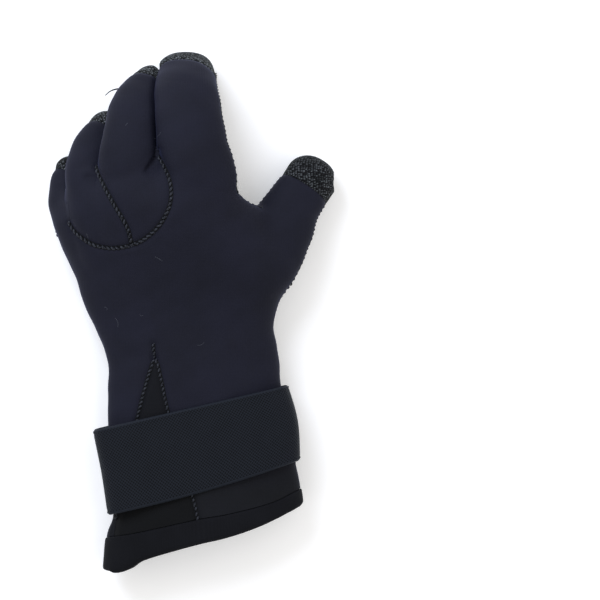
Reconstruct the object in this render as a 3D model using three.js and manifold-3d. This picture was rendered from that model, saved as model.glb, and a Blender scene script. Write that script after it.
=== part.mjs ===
// A left-hand diving glove of thick neoprene, lying palm down with its fingers curled to the surface.
// Frame: millimetres, +X towards the thumb side, +Y towards the fingertips, +Z up from the surface.
// The glove is a hollow shell of sewn panels, with a hemmed cuff and an elastic strap round the wrist.
import * as THREE from "three";
import { mergeVertices } from "three/addons/utils/BufferGeometryUtils.js";
import Module from "manifold-3d";

const wasm = await Module();
wasm.setup();

// Material thicknesses and clearances
const neoprene_wall = 4.5;
const hem_binding = 0.8; // how far the cuff's hem stands proud of the neoprene
const strap_thickness = 2.4;
const closure_thickness = 1.6;
const seam_gap = 0.3;
const seat_clearance = 0.4;

// Cuff, wrist and hand, over the outside of the neoprene
const gauntlet_length = 112; // from the narrowest part of the wrist to the cuff's edge
const palm_length = 114; // from the narrowest part of the wrist to the webs between the fingers
const cuff_width = 126;
const wrist_width = 103;
const hand_width = 128;
const hand_depth = 45;
const palm_arch = 25; // how high the knuckle end of the palm stands above the surface

// Digits: length along the surface, width and depth over the neoprene, and height of the arched centre line
const index_length = 97.5;
const index_width = 41;
const index_depth = 28;
const index_height = 51.5;
const middle_length = 93;
const middle_width = 37;
const middle_depth = 27;
const middle_height = 45;
const ring_length = 76.5;
const ring_width = 27;
const ring_depth = 25;
const ring_height = 33;
const pinky_length = 57.5;
const pinky_width = 26;
const pinky_depth = 21;
const pinky_height = 24;
const thumb_length = 96;
const thumb_width = 36.5;
const thumb_depth = 29;
const thumb_height = 25;

// How far the gripping cloth comes back from the tip of each digit, on the outside
const index_cap = 20;
const middle_cap = 18;
const ring_cap = 17;
const pinky_cap = 12;
const thumb_cap = 22;

// Wrist strap: a flat loop of elastic webbing, closed underneath
const strap_slack = 1; // how far the loop stands clear of the gauntlet's sides
const strap_skew = 2.5; // how far its edge nearer the hand is shifted to the little finger's side
const closure_length = 46;
const closure_width = 38;

// Fineness of the faceted surfaces
const body_sides = 32;
const digit_sides = 16;
const inner_share = 0.75; // the inside needs fewer facets than the outside
const digit_stations = 6;
const tip_angles = [0, 32, 58, 78];

// The strap and its closure lie under the wrist, so the wrist stands this high above the surface.
const strap_lift = strap_thickness + closure_thickness + 2 * seat_clearance;

const table = (columns, rows) =>
  rows.map((row) => Object.fromEntries(row.map((value, k) => [columns[k], value])));

// Sections of the body from the cuff's edge to the webs between the fingers. along is a share of
// gauntlet_length below zero and of palm_length above it; shift a share of hand_width; cuff, wrist and
// hand the weights of those widths; depth and arch shares of hand_depth; lift a share of strap_lift and
// rise of palm_arch; roll and slant are degrees.
const body_rows = table(
  ["along", "shift", "cuff", "wrist", "hand", "depth", "lift", "rise", "roll", "arch", "slant"],
  [
    [-1.1, 0.07, 1.035, 0, 0, 0.86, 0, 0, 0, 0, 19],
    [-0.84, 0.065, 0.89, 0.1, 0, 0.83, 0.25, 0, 0, 0, 17],
    [-0.73, 0.073, 0.52, 0.48, 0, 0.75, 1, 0, 0, 0, 16],
    [-0.51, 0.052, 0.42, 0.58, 0, 0.75, 1, 0, 0, 0, 14.5],
    [-0.29, 0.027, 0.22, 0.78, 0, 0.75, 1, 0, 0, 0, 13],
    [-0.13, 0.023, 0.07, 0.94, 0, 0.78, 0.8, 0, 0, 0, 9],
    [0, 0.016, 0, 1.01, 0, 0.82, 0.5, 0, 0, 0, 5],
    [0.13, -0.018, 0, 0.85, 0.16, 0.87, 0.25, 0, 1, 0.02, 2],
    [0.27, -0.036, 0, 0.48, 0.545, 0.93, 0, 0.05, 2.5, 0.05, 1],
    [0.42, -0.032, 0, 0.12, 0.93, 0.98, 0, 0.17, 5, 0.09, 2],
    [0.57, -0.1, 0, 0, 1, 1, 0, 0.38, 8, 0.16, 4],
    [0.72, -0.174, 0, 0, 0.915, 0.97, 0, 0.66, 10.5, 0.22, 8],
    [0.82, -0.238, 0, 0, 0.8, 0.86, 0, 0.86, 11.5, 0.25, 11],
    [0.9, -0.265, 0, 0, 0.72, 0.7, 0, 1.02, 11.5, 0.25, 12],
    [0.96, -0.28, 0, 0, 0.64, 0.45, 0, 1.2, 11.5, 0.24, 12],
  ],
);

// Lines across the glove seen from above. across is a share of hand_width, along a share of
// gauntlet_length and up a share of palm_length, both from the narrowest part of the wrist.
const cuff_edge = table(
  ["across", "along"],
  [
    [-0.55, -1.16],
    [-0.4, -1.187],
    [-0.345, -1.196],
    [-0.28, -1.17],
    [-0.205, -1.12],
    [0.034, -1.04],
    [0.19, -0.997],
    [0.348, -0.935],
    [0.532, -0.834],
    [0.66, -0.741],
  ],
);
const hem_line = table(
  ["across", "along"],
  [
    [-0.55, -1.036],
    [-0.389, -1.003],
    [-0.22, -0.967],
    [0.049, -0.899],
    [0.191, -0.871],
    [0.389, -0.813],
    [0.508, -0.751],
    [0.66, -0.67],
  ],
);
const gusset_line = table(
  ["across", "along"],
  [
    [-0.36, -1.02],
    [-0.325, -0.8],
    [-0.243, -0.363],
    [-0.203, -0.181],
    [-0.161, -0.02],
    [-0.144, -0.046],
    [-0.124, -0.163],
    [-0.093, -0.327],
    [0.018, -0.76],
    [0.068, -1.02],
  ],
);
const palm_heel_line = table(
  ["across", "along"],
  [
    [-0.7, -0.13],
    [0.7, -0.03],
  ],
);
const knuckle_seam = table(
  ["across", "up"],
  [
    [-0.141, 1.055],
    [-0.107, 0.987],
    [-0.081, 0.912],
    [-0.074, 0.838],
    [-0.087, 0.762],
    [-0.129, 0.68],
    [-0.195, 0.612],
    [-0.262, 0.575],
    [-0.348, 0.559],
    [-0.429, 0.571],
    [-0.488, 0.604],
    [-0.535, 0.649],
    [-0.553, 0.68],
  ],
);
const knuckle_seam_fork = 7; // the row of knuckle_seam where the divider meets it
const divider_seam = table(
  ["across", "up"],
  [
    [-0.262, 0.575],
    [-0.281, 0.663],
    [-0.321, 0.746],
    [-0.369, 0.838],
    [-0.409, 0.927],
    [-0.432, 0.987],
  ],
);
const ring_crease = table(
  ["across", "up"],
  [
    [-0.56, 0.75],
    [-0.577, 0.851],
    [-0.587, 0.93],
    [-0.589, 0.987],
  ],
);

// Sections of a digit from its root to its tip. along is a share of its length, aside and width of its
// width, height of its height and depth of its depth.
const index_rows = table(
  ["along", "aside", "height", "width", "depth"],
  [
    [0, 0.07, 0.78, 1.05, 1.1],
    [0.257, 0.138, 0.94, 1.1, 1.1],
    [0.432, 0.088, 1, 1.055, 1.06],
    [0.597, 0.074, 0.96, 1.015, 1.02],
    [0.733, 0.067, 0.835, 0.98, 1],
    [0.833, 0.068, 0.63, 0.935, 0.97],
    [0.914, 0.072, 0.35, 0.87, 0.94],
    [1, 0.075, 0.03, 0.8, 0.9],
  ],
);
const middle_rows = table(
  ["along", "aside", "height", "width", "depth"],
  [
    [0, 0, 0.8, 0.95, 1.05],
    [0.3, -0.11, 0.95, 1.02, 1.08],
    [0.475, -0.14, 1, 1, 1.05],
    [0.635, -0.11, 0.93, 0.96, 1.02],
    [0.755, -0.07, 0.77, 0.92, 1],
    [0.85, 0, 0.55, 0.89, 0.97],
    [0.925, 0.12, 0.31, 0.84, 0.94],
    [1, 0.2, 0.05, 0.79, 0.9],
  ],
);
const ring_rows = table(
  ["along", "aside", "height", "width", "depth"],
  [
    [0, 0, 0.84, 0.92, 1.04],
    [0.31, -0.17, 0.99, 1.02, 1.06],
    [0.49, -0.305, 0.97, 1.04, 1.02],
    [0.635, -0.29, 0.81, 1.03, 1],
    [0.765, -0.2, 0.61, 1, 0.97],
    [0.88, -0.01, 0.38, 0.93, 0.94],
    [1, 0.08, 0.09, 0.84, 0.9],
  ],
);
const pinky_rows = table(
  ["along", "aside", "height", "width", "depth"],
  [
    [0, 0.2, 0.96, 0.8, 0.95],
    [0.31, -0.06, 1, 1, 1.06],
    [0.51, -0.18, 0.75, 1.03, 1.02],
    [0.68, -0.16, 0.54, 1, 0.98],
    [0.83, -0.07, 0.41, 0.94, 0.93],
    [1, 0.08, 0.27, 0.82, 0.86],
  ],
);
const thumb_rows = table(
  ["along", "aside", "height", "width", "depth"],
  [
    [0, -0.05, 1, 0.9, 0.98],
    [0.28, 0.0, 1.03, 1.08, 1.06],
    [0.48, 0.015, 0.94, 1.04, 1.03],
    [0.65, 0.018, 0.8, 0.95, 0.98],
    [0.8, 0.022, 0.65, 0.89, 0.93],
    [1, 0.01, 0.47, 0.86, 0.88],
  ],
);

// Each digit with its root: across is a share of hand_width, up a share of palm_length and heading
// degrees from +Y towards the thumb's side.
const digits = {
  index: {
    rows: index_rows,
    length: index_length,
    width: index_width,
    depth: index_depth,
    height: index_height,
    cap: index_cap,
    across: 0.031,
    up: 0.702,
    heading: -5.9,
  },
  middle: {
    rows: middle_rows,
    length: middle_length,
    width: middle_width,
    depth: middle_depth,
    height: middle_height,
    cap: middle_cap,
    across: -0.266,
    up: 0.658,
    heading: 4.9,
  },
  ring: {
    rows: ring_rows,
    length: ring_length,
    width: ring_width,
    depth: ring_depth,
    height: ring_height,
    cap: ring_cap,
    across: -0.422,
    up: 0.588,
    heading: 2.2,
  },
  pinky: {
    rows: pinky_rows,
    length: pinky_length,
    width: pinky_width,
    depth: pinky_depth,
    height: pinky_height,
    cap: pinky_cap,
    across: -0.5,
    up: 0.54,
    heading: -6.5,
  },
  thumb: {
    rows: thumb_rows,
    length: thumb_length,
    width: thumb_width,
    depth: thumb_depth,
    height: thumb_height,
    cap: thumb_cap,
    across: 0.225,
    up: 0.328,
    heading: 33,
  },
};

const wrist_y = -25; // the narrowest part of the wrist in this frame
const body_power = 2.5; // the body's sections are superellipses, a little squarer than an ellipse
const digit_power = 2.2;
const strap_power = 5;
const inflate = 0.6; // how far a cutting region stands proud of the surface that it cuts
const degree = Math.PI / 180;

const signed_power = (value, power) => Math.sign(value) * Math.abs(value) ** power;

// A section is a superellipse in the plane of side and up. Its middle line sags towards both ends by arch.
function section_point(section, angle, inset) {
  const half_width = section.half_width - inset;
  const half_depth = section.half_depth - inset;
  const across = signed_power(Math.cos(angle), 2 / section.power);
  const rise = half_depth * signed_power(Math.sin(angle), 2 / section.power);
  return section.centre
    .clone()
    .addScaledVector(section.side, half_width * across)
    .addScaledVector(section.up, rise - section.arch * across * across);
}

function whole_ring(section, inset, sides) {
  return Array.from({ length: sides }, (_, k) => section_point(section, (2 * Math.PI * k) / sides, inset));
}

// The outer half of a section: its upper arc, closed along the middle line and lowered by drop.
function outer_half_ring(section, inset, sides, drop) {
  const half = { length: sides / 2 + 1 };
  const arc = Array.from(half, (_, k) => section_point(section, (2 * Math.PI * k) / sides, inset));
  const chord = Array.from(half, (_, k) => {
    const across = -1 + (4 * k) / sides;
    return section.centre
      .clone()
      .addScaledVector(section.side, (section.half_width - inset) * across)
      .addScaledVector(section.up, -section.arch * across * across - drop);
  });
  return [...arc, ...chord];
}

function solid_from(positions, faces) {
  return new wasm.Manifold(
    new wasm.Mesh({
      numProp: 3,
      vertProperties: new Float32Array(positions),
      triVerts: new Uint32Array(faces),
    }),
  );
}

// A geometry as a solid, with its faces turned outwards
function solid_of(geometry, tolerance = 1e-4) {
  geometry.deleteAttribute("normal");
  geometry.deleteAttribute("uv");
  const merged = mergeVertices(geometry, tolerance);
  const positions = merged.attributes.position.array;
  const faces = Array.from(merged.index.array);
  const made = solid_from(positions, faces);
  return made.volume() < 0 ? solid_from(positions, faces.reverse()) : made;
}

// The triangles of a flat ring of points
function cap_faces(ring) {
  const u = ring[0].clone().sub(ring[ring.length >> 1]).normalize();
  const normal = new THREE.Vector3();
  ring.forEach((point, k) => {
    const next = ring[(k + 1) % ring.length];
    normal.add(point.clone().sub(ring[0]).cross(next.clone().sub(ring[0])));
  });
  const w = normal.normalize().cross(u);
  return THREE.ShapeUtils.triangulateShape(
    ring.map((point) => new THREE.Vector2(point.dot(u), point.dot(w))),
    [],
  );
}

// A closed solid through rings of equally many points, with flat ends
function loft(rings) {
  const count = rings[0].length;
  const top = (rings.length - 1) * count;
  const faces = [];
  for (let r = 0; r + 1 < rings.length; r++)
    for (let k = 0; k < count; k++) {
      const a = r * count + k;
      const b = r * count + ((k + 1) % count);
      faces.push(a, b, b + count, a, b + count, a + count);
    }
  for (const [a, b, c] of cap_faces(rings[0])) faces.push(a, c, b);
  for (const [a, b, c] of cap_faces(rings.at(-1))) faces.push(top + a, top + b, top + c);
  const positions = rings.flatMap((ring) => ring.flatMap((p) => [p.x, p.y, p.z]));
  const geometry = new THREE.BufferGeometry()
    .setAttribute("position", new THREE.Float32BufferAttribute(positions, 3))
    .setIndex(faces);
  return solid_of(geometry);
}

// A prism standing on a flat outline.
function prism(outline, low, high) {
  const depth = high - low;
  const block = new THREE.ExtrudeGeometry(new THREE.Shape(outline), { depth, bevelEnabled: false });
  return solid_of(block.translate(0, 0, low));
}

// Everything above a height
function half_space(low) {
  const reach = 3 * (gauntlet_length + palm_length + index_length);
  return solid_of(new THREE.BoxGeometry(reach, reach, reach).translate(0, 0, low + reach / 2));
}

// Body sections
const body_sections = body_rows.map((row) => {
  const width = row.cuff * cuff_width + row.wrist * wrist_width + row.hand * hand_width;
  const depth = row.depth * hand_depth;
  const centre = new THREE.Vector3(
    row.shift * hand_width,
    wrist_y + row.along * (row.along < 0 ? gauntlet_length : palm_length),
    row.lift * strap_lift + row.rise * palm_arch + depth / 2,
  );
  const turn = new THREE.Matrix4()
    .makeRotationZ(row.slant * degree)
    .multiply(new THREE.Matrix4().makeRotationY(-row.roll * degree));
  return {
    centre,
    side: new THREE.Vector3(1, 0, 0).applyMatrix4(turn),
    up: new THREE.Vector3(0, 0, 1).applyMatrix4(turn),
    half_width: width / 2,
    half_depth: depth / 2,
    power: body_power,
    arch: row.arch * hand_depth,
  };
});

// The same section moved along the body's own axis
function moved(section, distance) {
  const axis = section.up.clone().cross(section.side);
  return { ...section, centre: section.centre.clone().addScaledVector(axis, distance) };
}

function body_solid(inset, sides = body_sides) {
  const last = moved(body_sections.at(-1), -inset);
  return loft([...body_sections.slice(0, -1), last].map((s) => whole_ring(s, inset, sides)));
}

function body_outer_half(drop) {
  const last = moved(body_sections.at(-1), inflate);
  return loft([...body_sections, last].map((s) => outer_half_ring(s, -inflate, body_sides, drop)));
}

// Digits: a tube along an arched centre line, rounded at its tip
function digit_line(digit) {
  const angle = digit.heading * degree;
  const heading = new THREE.Vector3(Math.sin(angle), Math.cos(angle), 0);
  const right = new THREE.Vector3(heading.y, -heading.x, 0);
  const root = new THREE.Vector3(digit.across * hand_width, wrist_y + digit.up * palm_length, 0);
  const points = digit.rows.map(({ along, aside, height }) =>
    root
      .clone()
      .addScaledVector(heading, along * digit.length)
      .addScaledVector(right, aside * digit.width)
      .setZ(height * digit.height),
  );
  const sizes = digit.rows.map(
    ({ width, depth }) => new THREE.Vector3(width * digit.width, depth * digit.depth, 0),
  );
  return {
    line: new THREE.CatmullRomCurve3(points, false, "catmullrom", 0.5),
    sizes: new THREE.CatmullRomCurve3(sizes, false, "catmullrom", 0.5),
  };
}

// The section at a distance along the centre line
function digit_section(curves, distance) {
  const share = Math.min(1, Math.max(0, distance / curves.line.getLength()));
  const tangent = curves.line.getTangentAt(share);
  const side = tangent.clone().cross(new THREE.Vector3(0, 0, 1)).normalize();
  const size = curves.sizes.getPoint(curves.line.getUtoTmapping(share));
  return {
    centre: curves.line.getPointAt(share),
    side,
    up: side.clone().cross(tangent),
    half_width: size.x / 2,
    half_depth: size.y / 2,
    power: digit_power,
    arch: 0,
  };
}

function digit_solid(digit, inset, sides = digit_sides) {
  const curves = digit_line(digit);
  const tip = curves.sizes.getPoint(1);
  const radius = (tip.x + tip.y) / 4 - inset;
  const end = curves.line.getLength() - inset;
  const rings = Array.from({ length: digit_stations }, (_, k) =>
    whole_ring(digit_section(curves, ((end - radius) * k) / digit_stations), inset, sides),
  );
  for (const angle of tip_angles) {
    const shrink = Math.cos(angle * degree);
    const section = digit_section(curves, end - radius * (1 - Math.sin(angle * degree)));
    section.half_width = (section.half_width - inset) * shrink;
    section.half_depth = (section.half_depth - inset) * shrink;
    rings.push(whole_ring(section, 0, sides));
  }
  return loft(rings);
}

// The outer half of a digit as far as its cap of gripping cloth
function digit_outer_half(digit, inset, grow, from = 0) {
  const curves = digit_line(digit);
  const length = curves.line.getLength();
  const start = from * length;
  const end = length - digit.cap;
  const step = (end - start) / digit_stations;
  const stops = Array.from({ length: digit_stations + 1 }, (_, k) => start + k * step);
  if (grow > 0) stops.push(end + grow);
  return loft(
    stops.map((stop) => outer_half_ring(digit_section(curves, stop), inset, digit_sides, grow)),
  );
}

const union = (solids) => solids.reduce((sum, next) => sum.add(next));

const at_gauntlet = ({ across, along }) =>
  new THREE.Vector2(across * hand_width, wrist_y + along * gauntlet_length);
const at_palm = ({ across, up }) => new THREE.Vector2(across * hand_width, wrist_y + up * palm_length);

// An outline moved outwards by a distance
function grown(outline, distance) {
  const shape = THREE.ShapeUtils.area(outline) < 0 ? [...outline].reverse() : outline;
  return shape.map((point, k) => {
    const a = point.clone().sub(shape.at(k - 1)).normalize();
    const b = shape[(k + 1) % shape.length].clone().sub(point).normalize();
    const out = new THREE.Vector2(a.y + b.y, -a.x - b.x);
    return point.clone().addScaledVector(out, distance / Math.max(0.3, out.lengthSq() / 2));
  });
}

// Everything on the cuff's side of a line that runs from the little finger's side to the thumb's side
function cuff_side(line, grow) {
  const reach = 2 * (gauntlet_length + palm_length);
  const far_end = [line.at(-1), line[0]].map(({ x }) => new THREE.Vector2(x, -reach));
  return prism(grown([...line, ...far_end], grow), -reach, reach);
}

const ground = half_space(0);
const hem_edge = cuff_edge.map(at_gauntlet);
const hem_top = hem_line.map(at_gauntlet);
const digit_list = Object.values(digits);
const outside = union([body_solid(0), ...digit_list.map((d) => digit_solid(d, 0))]).intersect(ground);
const hollow = union([
  body_solid(neoprene_wall, body_sides * inner_share),
  ...digit_list.map((d) => digit_solid(d, neoprene_wall, digit_sides * inner_share)),
]).intersect(half_space(neoprene_wall));
const shell = outside.subtract(hollow).subtract(cuff_side(hem_top, seam_gap));

// The back of the glove: the whole gauntlet, and above it the upper half of the body and of each digit
function back_region(grow) {
  return union([
    cuff_side(palm_heel_line.map(at_gauntlet), grow),
    body_outer_half(grow),
    ...digit_list.map((d) => digit_outer_half(d, -inflate, grow)),
  ]);
}

// The middle and ring fingers' panels start from a curved seam over the knuckles and part at the divider.
const middle_outline = [...knuckle_seam.slice(0, knuckle_seam_fork + 1), ...divider_seam.slice(1)];
const ring_outline = [
  ...knuckle_seam.slice(knuckle_seam_fork),
  ...ring_crease,
  ...divider_seam.slice(1).reverse(),
];

function knuckle_prism(outline, grow) {
  return prism(grown(outline.map(at_palm), grow), 1.2 * palm_arch, 4 * hand_depth);
}

function middle_region(grow) {
  const finger = digit_outer_half(digits.middle, -inflate - grow, grow, 0.28);
  return knuckle_prism(middle_outline, grow).add(finger.subtract(digit_solid(digits.index, grow)));
}

function ring_region(grow) {
  const finger = digit_outer_half(digits.ring, -inflate - grow, grow, 0.3);
  return knuckle_prism(ring_outline, grow)
    .add(finger.subtract(digit_solid(digits.middle, grow)))
    .subtract(digit_solid(digits.pinky, grow));
}

function gusset_prism(grow) {
  const outline = grown(gusset_line.map(at_gauntlet), grow);
  return prism(outline, strap_lift + 0.4 * hand_depth, 4 * hand_depth);
}

const back_side = shell.intersect(back_region(0));
const palm = shell.subtract(back_region(seam_gap));
const middle_panel = back_side.intersect(middle_region(0));
const ring_panel = back_side.intersect(ring_region(0)).subtract(middle_region(seam_gap));
const gusset = back_side.intersect(gusset_prism(0));
const back = back_side
  .subtract(middle_region(seam_gap))
  .subtract(ring_region(seam_gap))
  .subtract(gusset_prism(seam_gap));
const hem = body_solid(-hem_binding)
  .intersect(ground)
  .intersect(cuff_side(hem_top, 0))
  .subtract(cuff_side(hem_edge, 0))
  .subtract(hollow);

// The strap: a loop between two slanted edges, a little wider than the gauntlet that it holds
const strap_rows = body_sections.slice(2, 5);
const strap_half_width = Math.max(...strap_rows.map((s) => s.half_width)) + strap_slack + strap_thickness;
const strap_half_depth = Math.max(...strap_rows.map((s) => s.half_depth)) + seat_clearance + strap_thickness;
const strap_sections = strap_rows.map((s, k) => ({
  ...s,
  centre: s.centre.clone().addScaledVector(s.side, k === 2 ? -strap_skew : 0),
  half_width: strap_half_width,
  half_depth: strap_half_depth,
  power: strap_power,
}));

function strap_solid(inset) {
  const [lower, between, upper] = strap_sections;
  const sections = [moved(lower, -inset), between, moved(upper, inset)];
  return loft(sections.map((s) => whole_ring(s, inset, body_sides)));
}

const strap = strap_solid(0).subtract(strap_solid(strap_thickness));

const { centre: closure_place, side: closure_side } = strap_rows[1];
const closure = solid_of(
  new THREE.BoxGeometry(closure_length, closure_width, closure_thickness)
    .rotateZ(Math.atan2(closure_side.y, closure_side.x))
    .translate(closure_place.x, closure_place.y, closure_thickness / 2),
);

function geometry_of(solid) {
  const data = solid.getMesh();
  return new THREE.BufferGeometry()
    .setAttribute("position", new THREE.BufferAttribute(new Float32Array(data.vertProperties), 3))
    .setIndex(new THREE.BufferAttribute(data.triVerts, 1));
}

// The largest single body of a cut piece, without the slivers that the cuts leave beside it
function largest_body(solid) {
  return solid.decompose().sort((a, b) => b.volume() - a.volume())[0];
}

const finish = (color, roughness) => new THREE.MeshStandardMaterial({ color, roughness, metalness: 0 });
const pieces = [
  { name: "back_panel", solid: back, material: finish(0x23263a, 0.85) },
  { name: "middle_finger_panel", solid: middle_panel, material: finish(0x262a3f, 0.85) },
  { name: "ring_finger_panel", solid: ring_panel, material: finish(0x262a3f, 0.85) },
  { name: "palm_panel", solid: palm, material: finish(0x2f3231, 0.9) },
  { name: "wrist_gusset", solid: gusset, material: finish(0x1b1d22, 0.85) },
  { name: "cuff_hem", solid: hem, material: finish(0x191b1f, 0.85) },
  { name: "wrist_strap", solid: strap, material: finish(0x1a1c20, 0.8) },
  { name: "strap_closure", solid: closure, material: finish(0x151618, 0.9) },
];

// The frame's origin is the middle of the glove's footprint on the surface.
const bounds = new THREE.Box3();
for (const { solid } of pieces) {
  const geometry = geometry_of(largest_body(solid));
  geometry.computeBoundingBox();
  bounds.union(geometry.boundingBox);
}
const middle = bounds.getCenter(new THREE.Vector3());

const root = new THREE.Group();
for (const { name, solid, material } of pieces) {
  const placed = geometry_of(largest_body(solid)).translate(-middle.x, -middle.y, -bounds.min.z);
  const geometry = geometry_of(largest_body(solid_of(placed, 1e-3)));
  geometry.computeVertexNormals();
  const mesh = new THREE.Mesh(geometry, material);
  mesh.name = name;
  root.add(mesh);
}
export default root;
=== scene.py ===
"""A left-hand diving glove of thick neoprene, dressed over its solid model.

The skin is the zero surface of one function of space: the body and the five digits are tubes of superellipse sections
whose distances are blended, with seams pressed in. The skin is cut into its sewn panels along the seams, and each panel
gets its wall. Lengths are millimetres in the maker's frame until a mesh is written, in metres, in the model's frame.
"""

import logging
import math
from collections.abc import Callable
from dataclasses import dataclass, field, replace
from enum import Enum
from functools import partial

import bpy
import numpy as np
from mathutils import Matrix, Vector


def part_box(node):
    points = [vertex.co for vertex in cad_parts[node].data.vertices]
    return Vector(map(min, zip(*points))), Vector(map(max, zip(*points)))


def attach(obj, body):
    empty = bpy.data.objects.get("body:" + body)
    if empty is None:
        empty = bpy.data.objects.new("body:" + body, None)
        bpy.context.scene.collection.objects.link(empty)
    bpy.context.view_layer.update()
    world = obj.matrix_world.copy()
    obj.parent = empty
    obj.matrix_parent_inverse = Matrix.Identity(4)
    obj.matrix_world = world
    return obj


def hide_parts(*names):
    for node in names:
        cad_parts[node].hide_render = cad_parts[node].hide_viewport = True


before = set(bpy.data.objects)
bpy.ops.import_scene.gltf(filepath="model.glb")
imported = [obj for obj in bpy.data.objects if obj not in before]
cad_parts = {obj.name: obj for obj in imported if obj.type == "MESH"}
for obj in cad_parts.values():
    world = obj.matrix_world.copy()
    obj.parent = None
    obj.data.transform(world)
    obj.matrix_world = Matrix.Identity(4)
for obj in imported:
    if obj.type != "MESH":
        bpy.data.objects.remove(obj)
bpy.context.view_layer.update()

log = logging.getLogger("glove")

MM = 0.001

# Thicknesses
NEOPRENE_WALL = 4.5
DIGIT_WALL = 3.0  # the inner wall isn't seen in the digits, where it is thinner to keep clear of itself
HEM_BINDING = 0.8
STRAP_THICKNESS = 2.4
CLOSURE_THICKNESS = 1.6
SEAT_CLEARANCE = 0.4
STRAP_LIFT = STRAP_THICKNESS + CLOSURE_THICKNESS + 2 * SEAT_CLEARANCE

# Cuff, wrist and hand, over the outside of the neoprene
GAUNTLET_LENGTH = 112.0
PALM_LENGTH = 114.0
CUFF_WIDTH = 126.0
WRIST_WIDTH = 103.0
HAND_WIDTH = 128.0
HAND_DEPTH = 45.0
PALM_ARCH = 25.0
WRIST_Y = -25.0
BODY_POWER = 2.5
DIGIT_POWER = 2.2
STRAP_POWER = 5.0


@dataclass(frozen=True)
class Table:
    """Rows of numbers under named columns."""

    columns: tuple[str, ...]
    rows: tuple[tuple[float, ...], ...]

    def column(self, name: str) -> np.ndarray:
        """One named column."""
        return np.array(self.rows, float)[:, self.columns.index(name)]


# Sections of the body from the cuff's edge to the webs between the fingers. along is a share of the gauntlet's length
# below zero and of the palm's above it, shift a share of the hand's width, cuff, wrist and hand the weights of those
# widths, depth and arch shares of the hand's depth, lift a share of the strap's lift, rise of the palm's arch.
BODY_ROWS = Table(
    ("along", "shift", "cuff", "wrist", "hand", "depth", "lift", "rise", "roll", "arch", "slant"),
    (
        (-1.3, 0.068, 1.07, 0, 0, 0.87, 0, 0, 0, 0, 20),
        (-1.1, 0.07, 1.035, 0, 0, 0.86, 0, 0, 0, 0, 19),
        (-0.84, 0.065, 0.89, 0.1, 0, 0.83, 0.25, 0, 0, 0, 17),
        (-0.73, 0.073, 0.52, 0.48, 0, 0.75, 1, 0, 0, 0, 16),
        (-0.51, 0.052, 0.42, 0.58, 0, 0.75, 1, 0, 0, 0, 14.5),
        (-0.29, 0.027, 0.22, 0.78, 0, 0.75, 1, 0, 0, 0, 13),
        (-0.13, 0.023, 0.07, 0.94, 0, 0.78, 0.8, 0, 0, 0, 9),
        (0, 0.016, 0, 1.01, 0, 0.82, 0.5, 0, 0, 0, 5),
        (0.13, -0.018, 0, 0.85, 0.16, 0.87, 0.25, 0, 1, 0.02, 2),
        (0.27, -0.036, 0, 0.48, 0.545, 0.93, 0, 0.05, 2.5, 0.05, 1),
        (0.42, -0.032, 0, 0.12, 0.93, 0.98, 0, 0.17, 5, 0.09, 2),
        (0.57, -0.1, 0, 0, 1, 1, 0, 0.38, 8, 0.16, 4),
        (0.72, -0.174, 0, 0, 0.915, 0.97, 0, 0.66, 10.5, 0.22, 8),
        (0.82, -0.238, 0, 0, 0.8, 0.86, 0, 0.86, 11.5, 0.25, 11),
        (0.9, -0.265, 0, 0, 0.72, 0.7, 0, 1.02, 11.5, 0.25, 12),
        (0.96, -0.28, 0, 0, 0.64, 0.45, 0, 1.2, 11.5, 0.24, 12),
    ),
)
STRAP_ROWS = (3, 4, 5)  # the rows of BODY_ROWS under the strap's lower edge, middle and upper edge

# Lines seen from above. across is a share of the hand's width, along of the gauntlet's length, up of the palm's.
CUFF_EDGE = Table(
    ("across", "along"),
    (
        (-0.7, -1.156),
        (-0.55, -1.16),
        (-0.4, -1.187),
        (-0.345, -1.196),
        (-0.28, -1.17),
        (-0.205, -1.12),
        (0.034, -1.04),
        (0.19, -0.997),
        (0.348, -0.935),
        (0.532, -0.834),
        (0.66, -0.741),
    ),
)
HEM_LINE = Table(
    ("across", "along"),
    (
        (-0.7, -1.07),
        (-0.55, -1.036),
        (-0.389, -1.003),
        (-0.22, -0.967),
        (0.049, -0.899),
        (0.191, -0.871),
        (0.389, -0.813),
        (0.508, -0.751),
        (0.66, -0.67),
    ),
)
PALM_HEEL_LINE = Table(("across", "along"), ((-0.7, -0.13), (0.7, -0.03)))
GUSSET_LEFT = Table(
    ("across", "along"),
    (
        (-0.36, -1.02),
        (-0.325, -0.8),
        (-0.243, -0.363),
        (-0.203, -0.181),
        (-0.161, -0.02),
    ),
)
GUSSET_RIGHT = Table(
    ("across", "along"),
    ((-0.161, -0.02), (-0.144, -0.06), (-0.124, -0.163), (-0.093, -0.327), (0.018, -0.76), (0.068, -1.02)),
)
GUSSET_END = Table(("across", "along"), ((-0.165, 0.045), (-0.163, 0.01), (-0.161, -0.02)))
KNUCKLE_SEAM = Table(
    ("across", "up"),
    (
        (-0.141, 1.055),
        (-0.107, 0.987),
        (-0.081, 0.912),
        (-0.074, 0.838),
        (-0.087, 0.762),
        (-0.129, 0.68),
        (-0.195, 0.612),
        (-0.262, 0.575),
        (-0.348, 0.559),
        (-0.429, 0.571),
        (-0.488, 0.604),
        (-0.535, 0.649),
        (-0.56, 0.69),
    ),
)
DIVIDER_SEAM = Table(
    ("across", "up"),
    (
        (-0.262, 0.575),
        (-0.281, 0.663),
        (-0.321, 0.746),
        (-0.369, 0.838),
        (-0.409, 0.927),
        (-0.432, 0.987),
    ),
)
RING_CREASE = Table(("across", "up"), ((-0.56, 0.75), (-0.577, 0.851), (-0.587, 0.93), (-0.589, 0.987)))

DIGIT_COLUMNS = ("along", "aside", "height", "width", "depth")


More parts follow.
